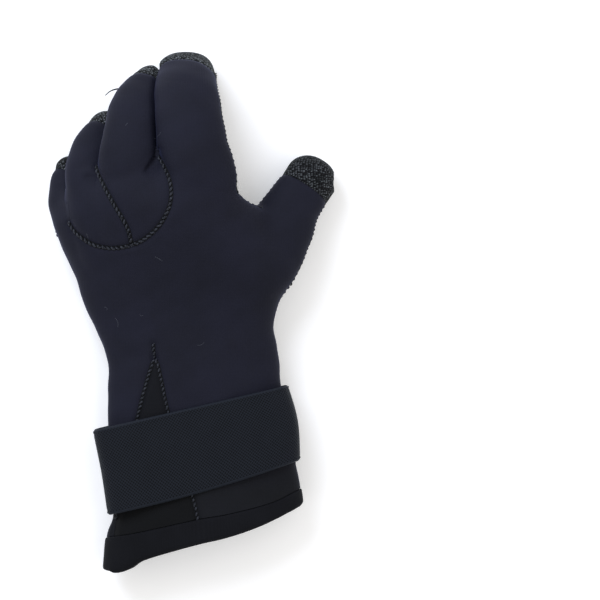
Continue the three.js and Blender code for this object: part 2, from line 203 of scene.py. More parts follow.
@dataclass(frozen=True)
class DigitSizes:
    """One digit: its rows run from root to tip, as shares of its length, width, height and depth."""

    name: str
    length: float
    width: float
    depth: float
    height: float
    cap: float  # how far the gripping cloth comes back from the tip
    across: float  # its root, as a share of the hand's width
    up: float  # its root, as a share of the palm's length
    heading: float  # degrees from +Y towards the thumb's side
    rows: tuple[tuple[float, ...], ...]
    seam_right: float = 0.0  # how far above the widest place the side seam runs, on the thumb's side
    seam_left: float = 0.0
    cap_slant: float = 0.0  # how much further back its cap reaches on the thumb's side, and less far on the other

    @property
    def table(self) -> Table:
        """The rows under their column names."""
        return Table(DIGIT_COLUMNS, self.rows)


INDEX = DigitSizes(
    "index",
    97.5,
    41,
    28,
    51.5,
    22,
    0.031,
    0.702,
    -5.9,
    (
        (0, 0.07, 0.78, 1.05, 1.1),
        (0.257, 0.138, 0.94, 1.1, 1.1),
        (0.432, 0.088, 1, 1.055, 1.06),
        (0.597, 0.074, 0.96, 1.015, 1.02),
        (0.733, 0.067, 0.835, 0.98, 1),
        (0.833, 0.068, 0.63, 0.935, 0.97),
        (0.914, 0.072, 0.35, 0.87, 0.94),
        (1, 0.075, 0.03, 0.8, 0.9),
    ),
    seam_right=1.5,
    seam_left=0.0,
    cap_slant=8.0,
)
MIDDLE = DigitSizes(
    "middle",
    93,
    37,
    27,
    45,
    20,
    -0.266,
    0.658,
    4.9,
    (
        (0, 0, 0.8, 0.95, 1.05),
        (0.3, -0.11, 0.95, 1.02, 1.08),
        (0.475, -0.14, 1, 1, 1.05),
        (0.635, -0.11, 0.93, 0.96, 1.02),
        (0.755, -0.085, 0.77, 0.95, 1),
        (0.85, 0, 0.55, 0.91, 0.97),
        (0.925, 0.15, 0.31, 0.88, 0.94),
        (1.01, 0.3, 0.05, 0.85, 0.9),
    ),
    cap_slant=-3.0,
)
RING = DigitSizes(
    "ring",
    76.5,
    27,
    25,
    33,
    17,
    -0.422,
    0.588,
    2.2,
    (
        (0, 0, 0.84, 0.92, 1.04),
        (0.31, -0.17, 0.99, 1.02, 1.06),
        (0.49, -0.305, 0.97, 1.04, 1.02),
        (0.635, -0.29, 0.81, 1.03, 1),
        (0.765, -0.2, 0.61, 1, 0.97),
        (0.88, 0.02, 0.38, 0.94, 0.94),
        (1, 0.14, 0.09, 0.87, 0.9),
    ),
)
PINKY = DigitSizes(
    "pinky",
    57.5,
    26,
    21,
    24,
    12,
    -0.5,
    0.54,
    -6.5,
    (
        (0, 0.2, 0.96, 0.8, 0.95),
        (0.31, -0.06, 1, 1, 1.06),
        (0.51, -0.18, 0.75, 1.03, 1.02),
        (0.68, -0.16, 0.54, 1, 0.98),
        (0.83, -0.07, 0.41, 0.94, 0.93),
        (1, 0.14, 0.27, 0.86, 0.86),
    ),
    seam_right=0.0,
    seam_left=-3.5,
)
THUMB = DigitSizes(
    "thumb",
    96,
    36.5,
    29,
    25,
    22,
    0.225,
    0.328,
    33,
    (
        (0, -0.03, 1, 0.95, 0.98),
        (0.28, 0.065, 1.03, 1.21, 1.06),
        (0.48, 0.055, 0.94, 1.12, 1.03),
        (0.65, 0.018, 0.8, 0.95, 0.98),
        (0.8, 0.022, 0.65, 0.89, 0.93),
        (1, 0.01, 0.47, 0.86, 0.88),
    ),
    seam_right=1.5,
    seam_left=0.0,
)


def through(values: np.ndarray, at: np.ndarray) -> np.ndarray:
    """A smooth curve through rows of values: cubic pieces whose slope at a row is half the step between its neighbours.

    Args:
        values: rows of numbers, one per knot.
        at: places along the curve, in knots from the first.

    Returns:
        One row of numbers for each place.
    """
    slope = np.gradient(values, axis=0)
    k = np.clip(np.floor(at).astype(int), 0, len(values) - 2)
    t = (at - k)[:, None]
    return (
        (1 + 2 * t) * (1 - t) ** 2 * values[k]
        + t * (1 - t) ** 2 * slope[k]
        + t * t * (3 - 2 * t) * values[k + 1]
        + t * t * (t - 1) * slope[k + 1]
    )


def soft_min(a: np.ndarray, b: np.ndarray, width: float) -> np.ndarray:
    """The smaller of two fields, less width (1 - |a - b| / width)^2 / 4 where they differ by less than width."""
    near = np.maximum(width - np.abs(a - b), 0) / width
    return np.minimum(a, b) - near * near * width / 4


def soft_max(a: np.ndarray, b: np.ndarray, width: float) -> np.ndarray:
    """The larger of two fields, rounded where they differ by less than width."""
    return -soft_min(-a, -b, width)


def smooth_step(value: np.ndarray, low: float, high: float) -> np.ndarray:
    """0 below low, 1 above high, and t t (3 - 2 t) between."""
    t = np.clip((value - low) / (high - low), 0, 1)
    return t * t * (3 - 2 * t)


def signed_power(value: np.ndarray, power: float) -> np.ndarray:
    """|value| to a power, with value's sign."""
    return np.sign(value) * np.abs(value) ** power


def seam_rise(across: np.ndarray, left: float, right: float) -> np.ndarray:
    """How far above a section's widest places its side seams run, turning from one side's value to the other's."""
    return left + (right - left) * smooth_step(across, -6, 6)


def unit(vectors: np.ndarray) -> np.ndarray:
    """Vectors made one long."""
    return vectors / np.maximum(np.linalg.norm(vectors, axis=-1, keepdims=True), 1e-9)


def section_distance(
    across: np.ndarray,
    rise: np.ndarray,
    beyond: np.ndarray,
    half: tuple[np.ndarray, np.ndarray, np.ndarray],
    power: float,
) -> np.ndarray:
    """Distance from a superellipse tube with rounded ends, to first order: (R - 1) / |grad R|.

    R^2 = r^2 + (beyond / reach)^2, with r = (|across / width|^n + |rise / depth|^n)^(1 / n).

    Args:
        across: offset along the section's width.
        rise: offset along its depth.
        beyond: how far past the last full section a point lies, zero between the ends.
        half: half width, half depth and the rounded end's reach.
        power: n.

    Returns:
        Millimetres, negative inside.
    """
    width, depth, reach = half
    a, b = np.abs(across) / width, np.abs(rise) / depth
    r = np.maximum((a**power + b**power) ** (1 / power), 0.05)
    slope_a = (a / r) ** (power - 1) / width
    slope_b = (b / r) ** (power - 1) / depth
    whole = np.sqrt(r * r + (beyond / reach) ** 2)
    steep = (r / whole) ** 2 * (slope_a**2 + slope_b**2) + (beyond / (reach**2 * whole)) ** 2
    return (whole - 1) / np.sqrt(steep)


@dataclass
class Place:
    """Where points lie in a tube's own frame: the distance from its surface, and offsets across, up and along it."""

    distance: np.ndarray
    across: np.ndarray
    rise: np.ndarray
    along: np.ndarray


@dataclass
class BodyTube:
    """The gauntlet and hand as one tube whose sections turn about the vertical (slant) and the long axis (roll)."""

    samples: int = 500
    end_reach: float = 7.0
    seam_right: float = -4.0
    seam_left: float = -4.0
    stations: dict[str, np.ndarray] = field(default_factory=dict)

    def __post_init__(self) -> None:
        """Works out the stations once, as smooth curves through the rows."""
        rows = BODY_ROWS
        along = rows.column("along")
        depth = rows.column("depth") * HAND_DEPTH
        columns = np.stack(
            [
                WRIST_Y + along * np.where(along < 0, GAUNTLET_LENGTH, PALM_LENGTH),
                rows.column("shift") * HAND_WIDTH,
                rows.column("lift") * STRAP_LIFT + rows.column("rise") * PALM_ARCH + depth / 2,
                (rows.column("cuff") * CUFF_WIDTH + rows.column("wrist") * WRIST_WIDTH + rows.column("hand") * HAND_WIDTH) / 2,
                depth / 2,
                rows.column("arch") * HAND_DEPTH,
                np.radians(rows.column("slant")),
                np.radians(rows.column("roll")),
            ],
            axis=1,
        )
        found = through(columns, np.linspace(0, len(columns) - 1, self.samples))
        names = ("y", "x", "z", "width", "depth", "arch", "slant", "roll")
        self.stations = {name: found[:, k] for k, name in enumerate(names)}
        self.knots = columns[:, 0]

    def at(self, name: str, y: np.ndarray) -> np.ndarray:
        """A station's value at a place along the tube."""
        return np.interp(y, self.stations["y"], self.stations[name])

    def axes(self, y: np.ndarray) -> tuple[np.ndarray, np.ndarray, np.ndarray]:
        """The sideways and upward directions and the centre of the sections at y."""
        slant, roll = self.at("slant", y), self.at("roll", y)
        side = np.stack([np.cos(roll) * np.cos(slant), np.cos(roll) * np.sin(slant), np.sin(roll)], -1)
        up = np.stack([-np.sin(roll) * np.cos(slant), -np.sin(roll) * np.sin(slant), np.cos(roll)], -1)
        return side, up, np.stack([self.at("x", y), y, self.at("z", y)], -1)

    def locate(self, points: np.ndarray) -> Place:
        """Finds the section through each point: y moves by the point's distance from the section's plane until it lies in it.

        Args:
            points: an (n, 3) array.

        Returns:
            Each point's place, with along as the section's y.
        """
        y = points[:, 1].copy()
        for _ in range(4):
            slant = self.at("slant", y)
            y = y + (points[:, 1] - y) * np.cos(slant) - (points[:, 0] - self.at("x", y)) * np.sin(slant)
        last = self.stations["y"][-1]
        beyond = np.maximum(y - last, 0)
        y = np.clip(y, self.stations["y"][0], last)
        side, up, centre = self.axes(y)
        offset = points - centre
        across = (offset * side).sum(1)
        width = self.at("width", y)
        rise = (offset * up).sum(1) + self.at("arch", y) * np.minimum((across / width) ** 2, 1.3)
        half = (width, self.at("depth", y), np.full_like(width, self.end_reach))
        return Place(section_distance(across, rise, beyond, half, BODY_POWER), across, rise, y)

    def side_seam(self, y: np.ndarray, right: bool) -> np.ndarray:
        """Points of the side seam on the sections at y."""
        up = (self.seam_right if right else self.seam_left) / self.at("depth", y)
        angle = np.arcsin(signed_power(up, BODY_POWER / 2))
        return self.point(y, angle if right else math.pi - angle, np.zeros(len(y)))

    def point(self, y: np.ndarray, angle: np.ndarray, inset: np.ndarray) -> np.ndarray:
        """A point on the section at y: centre + side w c + up (d s - arch c^2), c and s signed powers of cosine and sine."""
        c = signed_power(np.cos(angle), 2 / BODY_POWER)
        s = signed_power(np.sin(angle), 2 / BODY_POWER)
        side, up, centre = self.axes(y)
        width, depth = self.at("width", y) - inset, self.at("depth", y) - inset
        return centre + side * (width * c)[..., None] + up * (depth * s - self.at("arch", y) * c * c)[..., None]


@dataclass
class DigitTube:
    """One digit: a tube along an arched centre line, rounded at its tip and where it sinks into the hand."""

    sizes: DigitSizes
    samples: int = 90
    root_reach: float = 16.0
    margin: float = 9.0

    def __post_init__(self) -> None:
        """Works out the centre line and its frames: the tangent, its cross with the vertical, and their cross."""
        d, rows = self.sizes, self.sizes.table
        angle = math.radians(d.heading)
        heading = np.array([math.sin(angle), math.cos(angle), 0])
        right = np.array([math.cos(angle), -math.sin(angle), 0])
        root = np.array([d.across * HAND_WIDTH, WRIST_Y + d.up * PALM_LENGTH, 0])
        knots = (
            root
            + np.outer(rows.column("along") * d.length, heading)
            + np.outer(rows.column("aside") * d.width, right)
            + np.outer(rows.column("height") * d.height, (0, 0, 1))
        )
        sizes = np.stack([rows.column("width") * d.width / 2, rows.column("depth") * d.depth / 2], 1)
        at = np.linspace(0, len(knots) - 1, self.samples)
        self.centre = through(knots, at)
        self.half = through(sizes, at)
        self.tangent = unit(np.gradient(self.centre, axis=0))
        self.side = unit(np.cross(self.tangent, (0, 0, 1)))
        self.up = np.cross(self.side, self.tangent)
        steps = np.linalg.norm(np.diff(self.centre, axis=0), axis=1)
        self.along = np.concatenate([[0], np.cumsum(steps)])
        self.length = float(self.along[-1])
        self.tip_reach = float(self.half[-1].sum() / 2)
        reach = self.half.max() + self.margin
        self.low, self.high = self.centre.min(0) - reach, self.centre.max(0) + reach

    def at(self, values: np.ndarray, along: np.ndarray) -> np.ndarray:
        """Rows of values at distances along the centre line."""
        return np.stack([np.interp(along, self.along, values[:, k]) for k in range(values.shape[1])], -1)

    def locate(self, points: np.ndarray) -> Place:
        """Finds the nearest place on the centre line, from its nearest sample and two steps along the tangent.

        Args:
            points: an (n, 3) array.

        Returns:
            Each point's place, with along as the distance from the root. Points far from the digit get a large distance.
        """
        count = len(points)
        place = Place(np.full(count, 99.0), np.zeros(count), np.zeros(count), np.zeros(count))
        near = np.all((points > self.low) & (points < self.high), axis=1)
        p = points[near]
        if not len(p):
            return place
        gap = (self.centre**2).sum(1)[None, :] - 2 * p @ self.centre.T
        end = self.length - self.tip_reach
        raw = self.along[np.argmin(gap, axis=1)]
        for _ in range(2):
            raw = np.clip(raw, 0, end)
            raw = raw + ((p - self.at(self.centre, raw)) * self.at(self.tangent, raw)).sum(1)
        along = np.clip(raw, 0, end)
        offset = p - self.at(self.centre, along)
        across = (offset * self.at(self.side, along)).sum(1)
        rise = (offset * self.at(self.up, along)).sum(1)
        half = self.at(self.half, along)
        reach = np.where(raw > along, self.tip_reach, self.root_reach)
        place.distance[near] = section_distance(
            across, rise, np.abs(raw - along), (half[:, 0], half[:, 1], reach), DIGIT_POWER
        )
        place.across[near], place.rise[near], place.along[near] = across, rise, raw
        return place

    def side_seam(self, along: np.ndarray, right: bool) -> np.ndarray:
        """Points of the side seam on the sections at distances along the centre line."""
        half = self.at(self.half, along)
        rise = self.sizes.seam_right if right else self.sizes.seam_left
        across = half[:, 0] * (1 - np.abs(rise / half[:, 1]) ** DIGIT_POWER) ** (1 / DIGIT_POWER) * (1 if right else -1)
        return self.at(self.centre, along) + self.at(self.side, along) * across[:, None] + self.at(self.up, along) * rise


def plan_line(table: Table, first: int = 0, last: int | None = None) -> np.ndarray:
    """A table's line as points seen from above."""
    x = table.column("across") * HAND_WIDTH
    if "up" in table.columns:
        y = WRIST_Y + table.column("up") * PALM_LENGTH
    else:
        y = WRIST_Y + table.column("along") * GAUNTLET_LENGTH
    return np.stack([x, y], 1)[first:last]


def evenly(line: np.ndarray, spacing: float) -> np.ndarray:
    """A smooth curve through a line's points, sampled at even steps of about a spacing."""
    dense = through(line, np.linspace(0, len(line) - 1, 60 * len(line)))
    along = np.concatenate([[0], np.cumsum(np.linalg.norm(np.diff(dense, axis=0), axis=1))])
    stops = np.linspace(0, along[-1], max(2, round(along[-1] / spacing) + 1))
    return np.stack([np.interp(stops, along, dense[:, k]) for k in range(line.shape[1])], 1)


def line_distance(points: np.ndarray, line: np.ndarray) -> np.ndarray:
    """The distance in plan from points to a line of points, by the nearest place on each of its segments."""
    start, step = line[:-1], np.diff(line, axis=0)
    found = []
    for block in np.array_split(points[:, :2], max(1, len(points) // 20000)):
        gap = block[:, None, :] - start[None]
        t = np.clip((gap * step).sum(2) / (step**2).sum(1), 0, 1)
        found.append(np.sqrt(((gap - t[..., None] * step) ** 2).sum(2)).min(1))
    return np.concatenate(found)


def inside_depth(points: np.ndarray, outline: np.ndarray) -> np.ndarray:
    """The distance in plan from a closed outline, positive inside, where a ray crosses the outline an odd number of times."""
    closed = np.vstack([outline, outline[:1]])
    (x0, y0), (x1, y1) = closed[:-1].T, closed[1:].T
    inside = []
    for block in np.array_split(points[:, :2], max(1, len(points) // 20000)):
        x, y = block[:, :1], block[:, 1:]
        spans = (y0 > y) != (y1 > y)
        cross = x < x0 + (y - y0) * (x1 - x0) / np.where(y1 == y0, 1e-9, y1 - y0)
        inside.append((spans & cross).sum(1) % 2 == 1)
    return np.where(np.concatenate(inside), 1, -1) * line_distance(points, closed)


@dataclass(frozen=True)
class Press:
    """A soft dent, or a ridge where depth is negative, along a line seen from above: depth exp(-(distance / width)^2).

    A tuck dents only the line's left-hand side, and fades out towards the line's end.
    """

    line: tuple[tuple[float, float], ...]
    width: float
    depth: float
    tuck: bool = False

    def depth_at(self, points: np.ndarray) -> np.ndarray:
        """The dent's depth under points seen from above."""
        line = np.array(self.line)
        depth = self.depth * np.exp(-((line_distance(points, line) / self.width) ** 2))
        if self.tuck:
            run = line[-1] - line[0]
            gap = points - line[0]
            side = gap @ np.array([-run[1], run[0]]) / np.linalg.norm(run)
            depth *= smooth_step(side, -0.5, 0.3) * (1 - smooth_step(gap @ run / (run @ run), 0.8, 1.1))
        return depth


@dataclass
class Relief:
    """What is pressed into the back of the glove, kept as a height map seen from above: seams, folds and creases."""

    step: float = 0.5
    seam_width: float = 2.2
    seam_depth: float = 1.3
    low: tuple[float, float] = (-92.0, -170.0)
    high: tuple[float, float] = (92.0, 165.0)
    presses: tuple[Press, ...] = (
        Press(((-18.2, 97.5), (-18.6, 94.5), (-21.5, 90.2), (-26.4, 84.0)), 2.8, 1.8, True),
        Press(((-63.0, 84.5), (-58.5, 86.0), (-55.5, 84.5)), 2.4, -0.9),
        Press(((-60.0, 81.0), (-56.0, 81.5)), 1.6, 0.5),
        Press(((-51.0, -16.0), (-42.0, -24.0), (-30.0, -28.0)), 5.0, 0.8),
        Press(((56.0, -30.0), (44.0, -33.0), (30.0, -31.0)), 6.0, 0.7),
        Press(((18.0, 62.0), (30.0, 50.0), (38.0, 32.0)), 7.0, 0.8),
    )

    def __post_init__(self) -> None:
        """Draws every line once on a grid."""
        self.xs = np.arange(self.low[0], self.high[0], self.step)
        self.ys = np.arange(self.low[1], self.high[1], self.step)
        grid = np.stack(np.meshgrid(self.xs, self.ys, indexing="ij"), -1).reshape(-1, 2)
        depth = np.zeros(len(grid))
        seams = [KNUCKLE_SEAM, DIVIDER_SEAM, GUSSET_LEFT, GUSSET_RIGHT, GUSSET_END]
        lines = [evenly(plan_line(s), 2.5) for s in seams]
        sewn = [Press(tuple(map(tuple, line)), self.seam_width, self.seam_depth) for line in lines]
        for press in (*sewn, *self.presses):
            line, reach = np.array(press.line), 3 * press.width
            near = np.all((grid > line.min(0) - reach) & (grid < line.max(0) + reach), axis=1)
            depth[near] += press.depth_at(grid[near])
        self.depth = depth.reshape(len(self.xs), len(self.ys))

    def tuck_strips(self, width: float = 0.9) -> list[np.ndarray]:
        """Narrow outlines on both sides of each tuck, along which the skin gets edges of its own."""
        strips = []
        for press in self.presses:
            if press.tuck:
                line = evenly(np.array(press.line), 1.0)
                side = unit(np.gradient(line, axis=0)) @ np.array([[0, -1], [1, 0]]) * width
                strips += [np.vstack([line, (line + side * way)[::-1]]) for way in (-1, 1)]
        return strips

    def at(self, points: np.ndarray) -> np.ndarray:
        """The depth under points, straight between the grid's four nearest values."""
        fx = np.clip((points[:, 0] - self.xs[0]) / self.step, 0, len(self.xs) - 1.001)
        fy = np.clip((points[:, 1] - self.ys[0]) / self.step, 0, len(self.ys) - 1.001)
        i, j = fx.astype(int), fy.astype(int)
        u, v = fx - i, fy - j
        d = self.depth
        return (
            d[i, j] * (1 - u) * (1 - v)
            + d[i + 1, j] * u * (1 - v)
            + d[i, j + 1] * (1 - u) * v
            + d[i + 1, j + 1] * u * v
        )


@dataclass
class GloveForm:
    """The whole glove as one field, negative inside, with its seams pressed in."""

    hand_blend: float = 8.0
    finger_blend: float = 0.8
    thumb_blend: float = 5.0
    web_place: tuple[float, float, float] = (36.0, 55.0, 34.0)  # between the index finger and the thumb
    web_reach: tuple[float, float, float] = (10.5, 9.5, 12.0)
    web_blend: float = 7.0
    crease_depth: float = 3.2
    crease_width: float = 1.5
    side_groove: float = 0.8
    side_groove_width: float = 1.7
    ground_blend: float = 1.6
    waviness: float = 0.16
    voxel: float = 1.25

    def __post_init__(self) -> None:
        """Builds the tubes and the seeded waves of the cloth's slight unevenness."""
        self.body = BodyTube()
        self.digits = [DigitTube(d) for d in (INDEX, MIDDLE, RING, PINKY, THUMB)]
        self.relief = Relief()
        draw = np.random.default_rng(5)
        self.waves = unit(draw.normal(size=(9, 3))) * (2 * math.pi / draw.uniform(14, 46, size=(9, 1)))
        self.phases = draw.uniform(0, 2 * math.pi, 9)

    def places(self, points: np.ndarray) -> list[Place]:
        """Where points lie in the body's frame and in each digit's."""
        return [self.body.locate(points), *(d.locate(points) for d in self.digits)]

    def union(self, points: np.ndarray, places: list[Place]) -> np.ndarray:
        """The tubes joined: fingers meet in deep creases, and the hand takes them up softly."""
        distances = [p.distance for p in places[1:]]
        fingers = distances[0]
        for left in distances[1:4]:
            fingers = soft_min(fingers, left, self.finger_blend)
        for k in range(3):
            a, b = places[k + 1], places[k + 2]
            clear = smooth_step(a.along, 0.3 * self.digits[k].length, 0.5 * self.digits[k].length)
            apart = (a.distance - b.distance) / self.crease_width
            fingers = fingers + self.crease_depth * clear * np.exp(-(apart**2))
        digits = soft_min(fingers, distances[4], self.thumb_blend)
        hand = soft_min(soft_min(places[0].distance, digits, self.hand_blend), self.web(points), self.web_blend)
        return soft_max(hand, -points[:, 2], self.ground_blend)

    def web(self, points: np.ndarray) -> np.ndarray:
        """Distance from the web's ellipsoid, to first order: with k = |p / r|, k (k - 1) / |p / r^2|."""
        offset, reach = points - np.array(self.web_place), np.array(self.web_reach)
        k = np.linalg.norm(offset / reach, axis=1)
        return k * (k - 1) / np.maximum(np.linalg.norm(offset / reach**2, axis=1), 1e-6)

    def shares(self, places: list[Place]) -> np.ndarray:
        """How much each tube governs a point: exp(-distance / 2), as shares of one."""
        near = np.exp(-np.clip(np.stack([p.distance for p in places]), -30, 60) / 2.0)
        return near / near.sum(0)

    def back_depth(self, points: np.ndarray, places: list[Place], shares: np.ndarray) -> np.ndarray:
        """How far inside the back's cloth a point lies: above the side seams, short of the caps, or below the heel line."""
        body = self.body
        depths = [places[0].rise - seam_rise(places[0].across, body.seam_left, body.seam_right)]
        for tube, place in zip(self.digits, places[1:]):
            above = place.rise - seam_rise(place.across, tube.sizes.seam_left, tube.sizes.seam_right)
            cap = tube.sizes.cap + tube.sizes.cap_slant * np.clip(2 * place.across / tube.sizes.width, -1, 1)
            depths.append(soft_min(above, tube.length - cap - place.along, 3.0))
        heel = plan_line(PALM_HEEL_LINE)
        below = np.interp(points[:, 0], heel[:, 0], heel[:, 1]) - points[:, 1]
        return soft_max((shares * np.stack(depths)).sum(0), below, 3.0)

    def value(self, points: np.ndarray) -> np.ndarray:
        """The joined tubes with the relief, the side seams' grooves and the waves added."""
        places = self.places(points)
        shares = self.shares(places)
        joined = self.union(points, places)
        rise = (shares * np.stack([p.rise for p in places])).sum(0)
        back = self.back_depth(points, places, shares)
        groove = self.side_groove * np.exp(-((back / self.side_groove_width) ** 2))
        wave = np.sin(points @ self.waves.T + self.phases).sum(1) * self.waviness / 2
        pressed = self.relief.at(points) * smooth_step(rise, -1, 4)
        return joined + pressed + groove + wave * smooth_step(points[:, 2], 1, 6)

    def gradient(self, points: np.ndarray, step: float = 0.35) -> np.ndarray:
        """The field's slope, from its differences over a small step each way."""
        shifts = np.vstack([np.eye(3), -np.eye(3)]) * step
        values = self.value((points[None] + shifts[:, None]).reshape(-1, 3)).reshape(6, -1)
        return ((values[:3] - values[3:]) / (2 * step)).T

    def settle(self, points: np.ndarray, rounds: int = 3, most: float = 1.5) -> np.ndarray:
        """Moves points onto the surface: each goes against the slope by the field's value over the slope's length."""
        for _ in range(rounds):
            slope = self.gradient(points)
            size = np.maximum((slope**2).sum(1), 0.2)
            move = -slope * (self.value(points) / size)[:, None]
            length = np.maximum(np.linalg.norm(move, axis=1, keepdims=True), 1e-9)
            points = points + move * np.minimum(1, most / length)
        return points

    def drop(self, plan: np.ndarray, height: float = 74.0) -> np.ndarray:
        """The highest surface points under places seen from above: each falls by most of its distance, again and again."""
        points = np.column_stack([plan, np.full(len(plan), height)])
        for _ in range(60):
            points[:, 2] -= 0.75 * self.value(points)
        return points

    def surface(self) -> tuple[np.ndarray, np.ndarray]:
        """The field's zero surface as a net of quads: one point in each mixed cell, at the mean of its edges' crossings.

        Returns:
            Points and triangles.
        """
        low, high = np.array([-90.0, -168.0, -2.5]), np.array([90.0, 163.0, 70.0])
        axes = [np.arange(low[k], high[k], self.voxel) for k in range(3)]
        shape = tuple(len(a) for a in axes)
        grid = np.stack(np.meshgrid(*axes, indexing="ij"), -1).reshape(-1, 3)
        blocks = np.array_split(grid, 16)
        values = np.concatenate([self.union(b, self.places(b)) for b in blocks]).reshape(shape)
        inside = values < 0
        corners = np.array([[i, j, k] for i in (0, 1) for j in (0, 1) for k in (0, 1)])
        cells = tuple(n - 1 for n in shape)
        count = sum(
            inside[c[0] : c[0] + cells[0], c[1] : c[1] + cells[1], c[2] : c[2] + cells[2]].astype(np.int8) for c in corners
        )
        active = np.argwhere((count > 0) & (count < 8))
        total, crossings = np.zeros((len(active), 3)), np.zeros(len(active))
        for a in corners:
            for axis in range(3):
                if a[axis]:
                    continue
                b = a.copy()
                b[axis] = 1
                fa, fb = values[tuple((active + a).T)], values[tuple((active + b).T)]
                mixed = (fa < 0) != (fb < 0)
                t = np.where(mixed, fa / np.where(fa == fb, 1, fa - fb), 0)
                total += mixed[:, None] * (a + t[:, None] * (b - a))
                crossings += mixed
        points = low + (active + total / crossings[:, None]) * self.voxel
        number = np.full(cells, -1)
        number[tuple(active.T)] = np.arange(len(active))
        quads = []
        for axis in range(3):
            u, v = (axis + 1) % 3, (axis + 2) % 3
            start = [slice(None)] * 3
            start[axis] = slice(0, -1)
            end = [slice(None)] * 3
            end[axis] = slice(1, None)
            a, b = inside[tuple(start)], inside[tuple(end)]
            edge = np.argwhere(a != b)
            edge = edge[(edge[:, u] > 0) & (edge[:, v] > 0) & (edge[:, u] < cells[u]) & (edge[:, v] < cells[v])]
            out = a[tuple(edge.T)]
            eu, ev = np.eye(3, dtype=int)[u], np.eye(3, dtype=int)[v]
            ring = [number[tuple((edge - s).T)] for s in (eu + ev, ev, 0 * eu, eu)]
            quad = np.stack(ring, 1)
            quads.append(np.where(out[:, None], quad, quad[:, ::-1]))
        quads = np.vstack(quads)
        for smoothing in range(3):
            points = self.settle(relaxed(points, quads, 0.6 if smoothing else 0.9), rounds=1)
        points = self.settle(points, rounds=2)
        return points, triangles_of(points, quads)


def relaxed(points: np.ndarray, quads: np.ndarray, share: float) -> np.ndarray:
    """Points moved a share of the way to the mean of their neighbours on the net."""
    a, b = quads.ravel(), np.roll(quads, -1, axis=1).ravel()
    starts, ends = np.concatenate([a, b]), np.concatenate([b, a])
    count = np.bincount(starts, minlength=len(points))
    mean = np.stack([np.bincount(starts, points[ends, k], len(points)) for k in range(3)], 1) / count[:, None]
    return points + share * (mean - points)


def triangles_of(points: np.ndarray, quads: np.ndarray) -> np.ndarray:
    """Each quad as two triangles, parted along its shorter diagonal."""
    a, b, c, d = quads.T
    first = np.linalg.norm(points[a] - points[c], axis=1) < np.linalg.norm(points[b] - points[d], axis=1)
    one = np.where(first[:, None], np.stack([a, b, c], 1), np.stack([b, c, d], 1))
    two = np.where(first[:, None], np.stack([a, c, d], 1), np.stack([b, d, a], 1))
    return np.vstack([one, two])


@dataclass
class Skin:
    """A net of triangles that seams divide."""

    points: np.ndarray
    faces: np.ndarray

    def snapped(self, field_at: Callable[[np.ndarray], np.ndarray], near: float = 0.28) -> np.ndarray:
        """Moves points that lie close to a seam onto it, along the net's edges, and gives the seam's field afterwards.

        Args:
            field_at: the seam's field, as a function of points.
            near: the share of an edge's length within which its end moves.

        Returns:
            The field at the points, zero where one was moved.
        """
        values = field_at(self.points)
        edges = np.vstack([self.faces[:, [0, 1]], self.faces[:, [1, 2]], self.faces[:, [2, 0]]])
        edges = np.vstack([edges, edges[:, ::-1]])
        i, j = edges[(values[edges[:, 0]] > 0) != (values[edges[:, 1]] > 0)].T
        t = values[i] / (values[i] - values[j])
        close = t < near
        i, j, t = i[close], j[close], t[close]
        order = np.argsort(-t)
        i, j, t = i[order], j[order], t[order]
        target = self.points[i] + t[:, None] * (self.points[j] - self.points[i])
        self.points[i] = target
        values[i] = 0.0
        return values

    def divided(self, field_at: Callable[[np.ndarray], np.ndarray]) -> tuple[np.ndarray, np.ndarray]:
        """Splits the faces where a field changes sign, with a new point on each edge that it crosses.

        Args:
            field_at: the field, as a function of points.

        Returns:
            The faces where it is positive and those where it is negative. New points join the skin's own.
        """
        values = self.snapped(field_at)
        high = values[self.faces] >= 0
        kept = self.faces[high.sum(1) == 3]
        lost = self.faces[high.sum(1) == 0]
        mixed_high, mixed_low = [], []
        starts, ends = [], []
        parts = []
        for count in (1, 2):
            chosen = self.faces[high.sum(1) == count]
            which = high[high.sum(1) == count]
            lone = np.argmax(which if count == 1 else ~which, axis=1)
            turn = (lone[:, None] + np.arange(3)) % 3
            face = np.take_along_axis(chosen, turn, 1)
            parts.append(face)
            for k in (1, 2):
                inner, outer = (face[:, 0], face[:, k]) if count == 1 else (face[:, k], face[:, 0])
                starts.append(inner)
                ends.append(outer)
        keys = np.concatenate(starts) * (len(self.points) + 1) + np.concatenate(ends)
        unique, first, back = np.unique(keys, return_index=True, return_inverse=True)
        i, j = np.concatenate(starts)[first], np.concatenate(ends)[first]
        t = values[i] / (values[i] - values[j])
        numbers = np.where(values[i] == 0, i, len(self.points) + np.cumsum(values[i] != 0) - 1)
        fresh = (self.points[i] + t[:, None] * (self.points[j] - self.points[i]))[values[i] != 0]
        self.points = np.vstack([self.points, fresh])
        crossing = np.split(numbers[back], np.cumsum([len(s) for s in starts])[:-1])
        sides = ((parts[0], crossing[0], crossing[1], True), (parts[1], crossing[2], crossing[3], False))
        for face, one, two, alone_high in sides:
            tip = np.stack([face[:, 0], one, two], 1)
            rest = np.vstack([np.stack([one, face[:, 1], face[:, 2]], 1), np.stack([one, face[:, 2], two], 1)])
            (mixed_high if alone_high else mixed_low).append(tip)
            (mixed_low if alone_high else mixed_high).append(rest)
        return whole_faces(np.vstack([kept, *mixed_high])), whole_faces(np.vstack([lost, *mixed_low]))


def whole_faces(faces: np.ndarray) -> np.ndarray:
    """Faces whose three points differ."""
    return faces[(faces[:, 0] != faces[:, 1]) & (faces[:, 1] != faces[:, 2]) & (faces[:, 2] != faces[:, 0])]


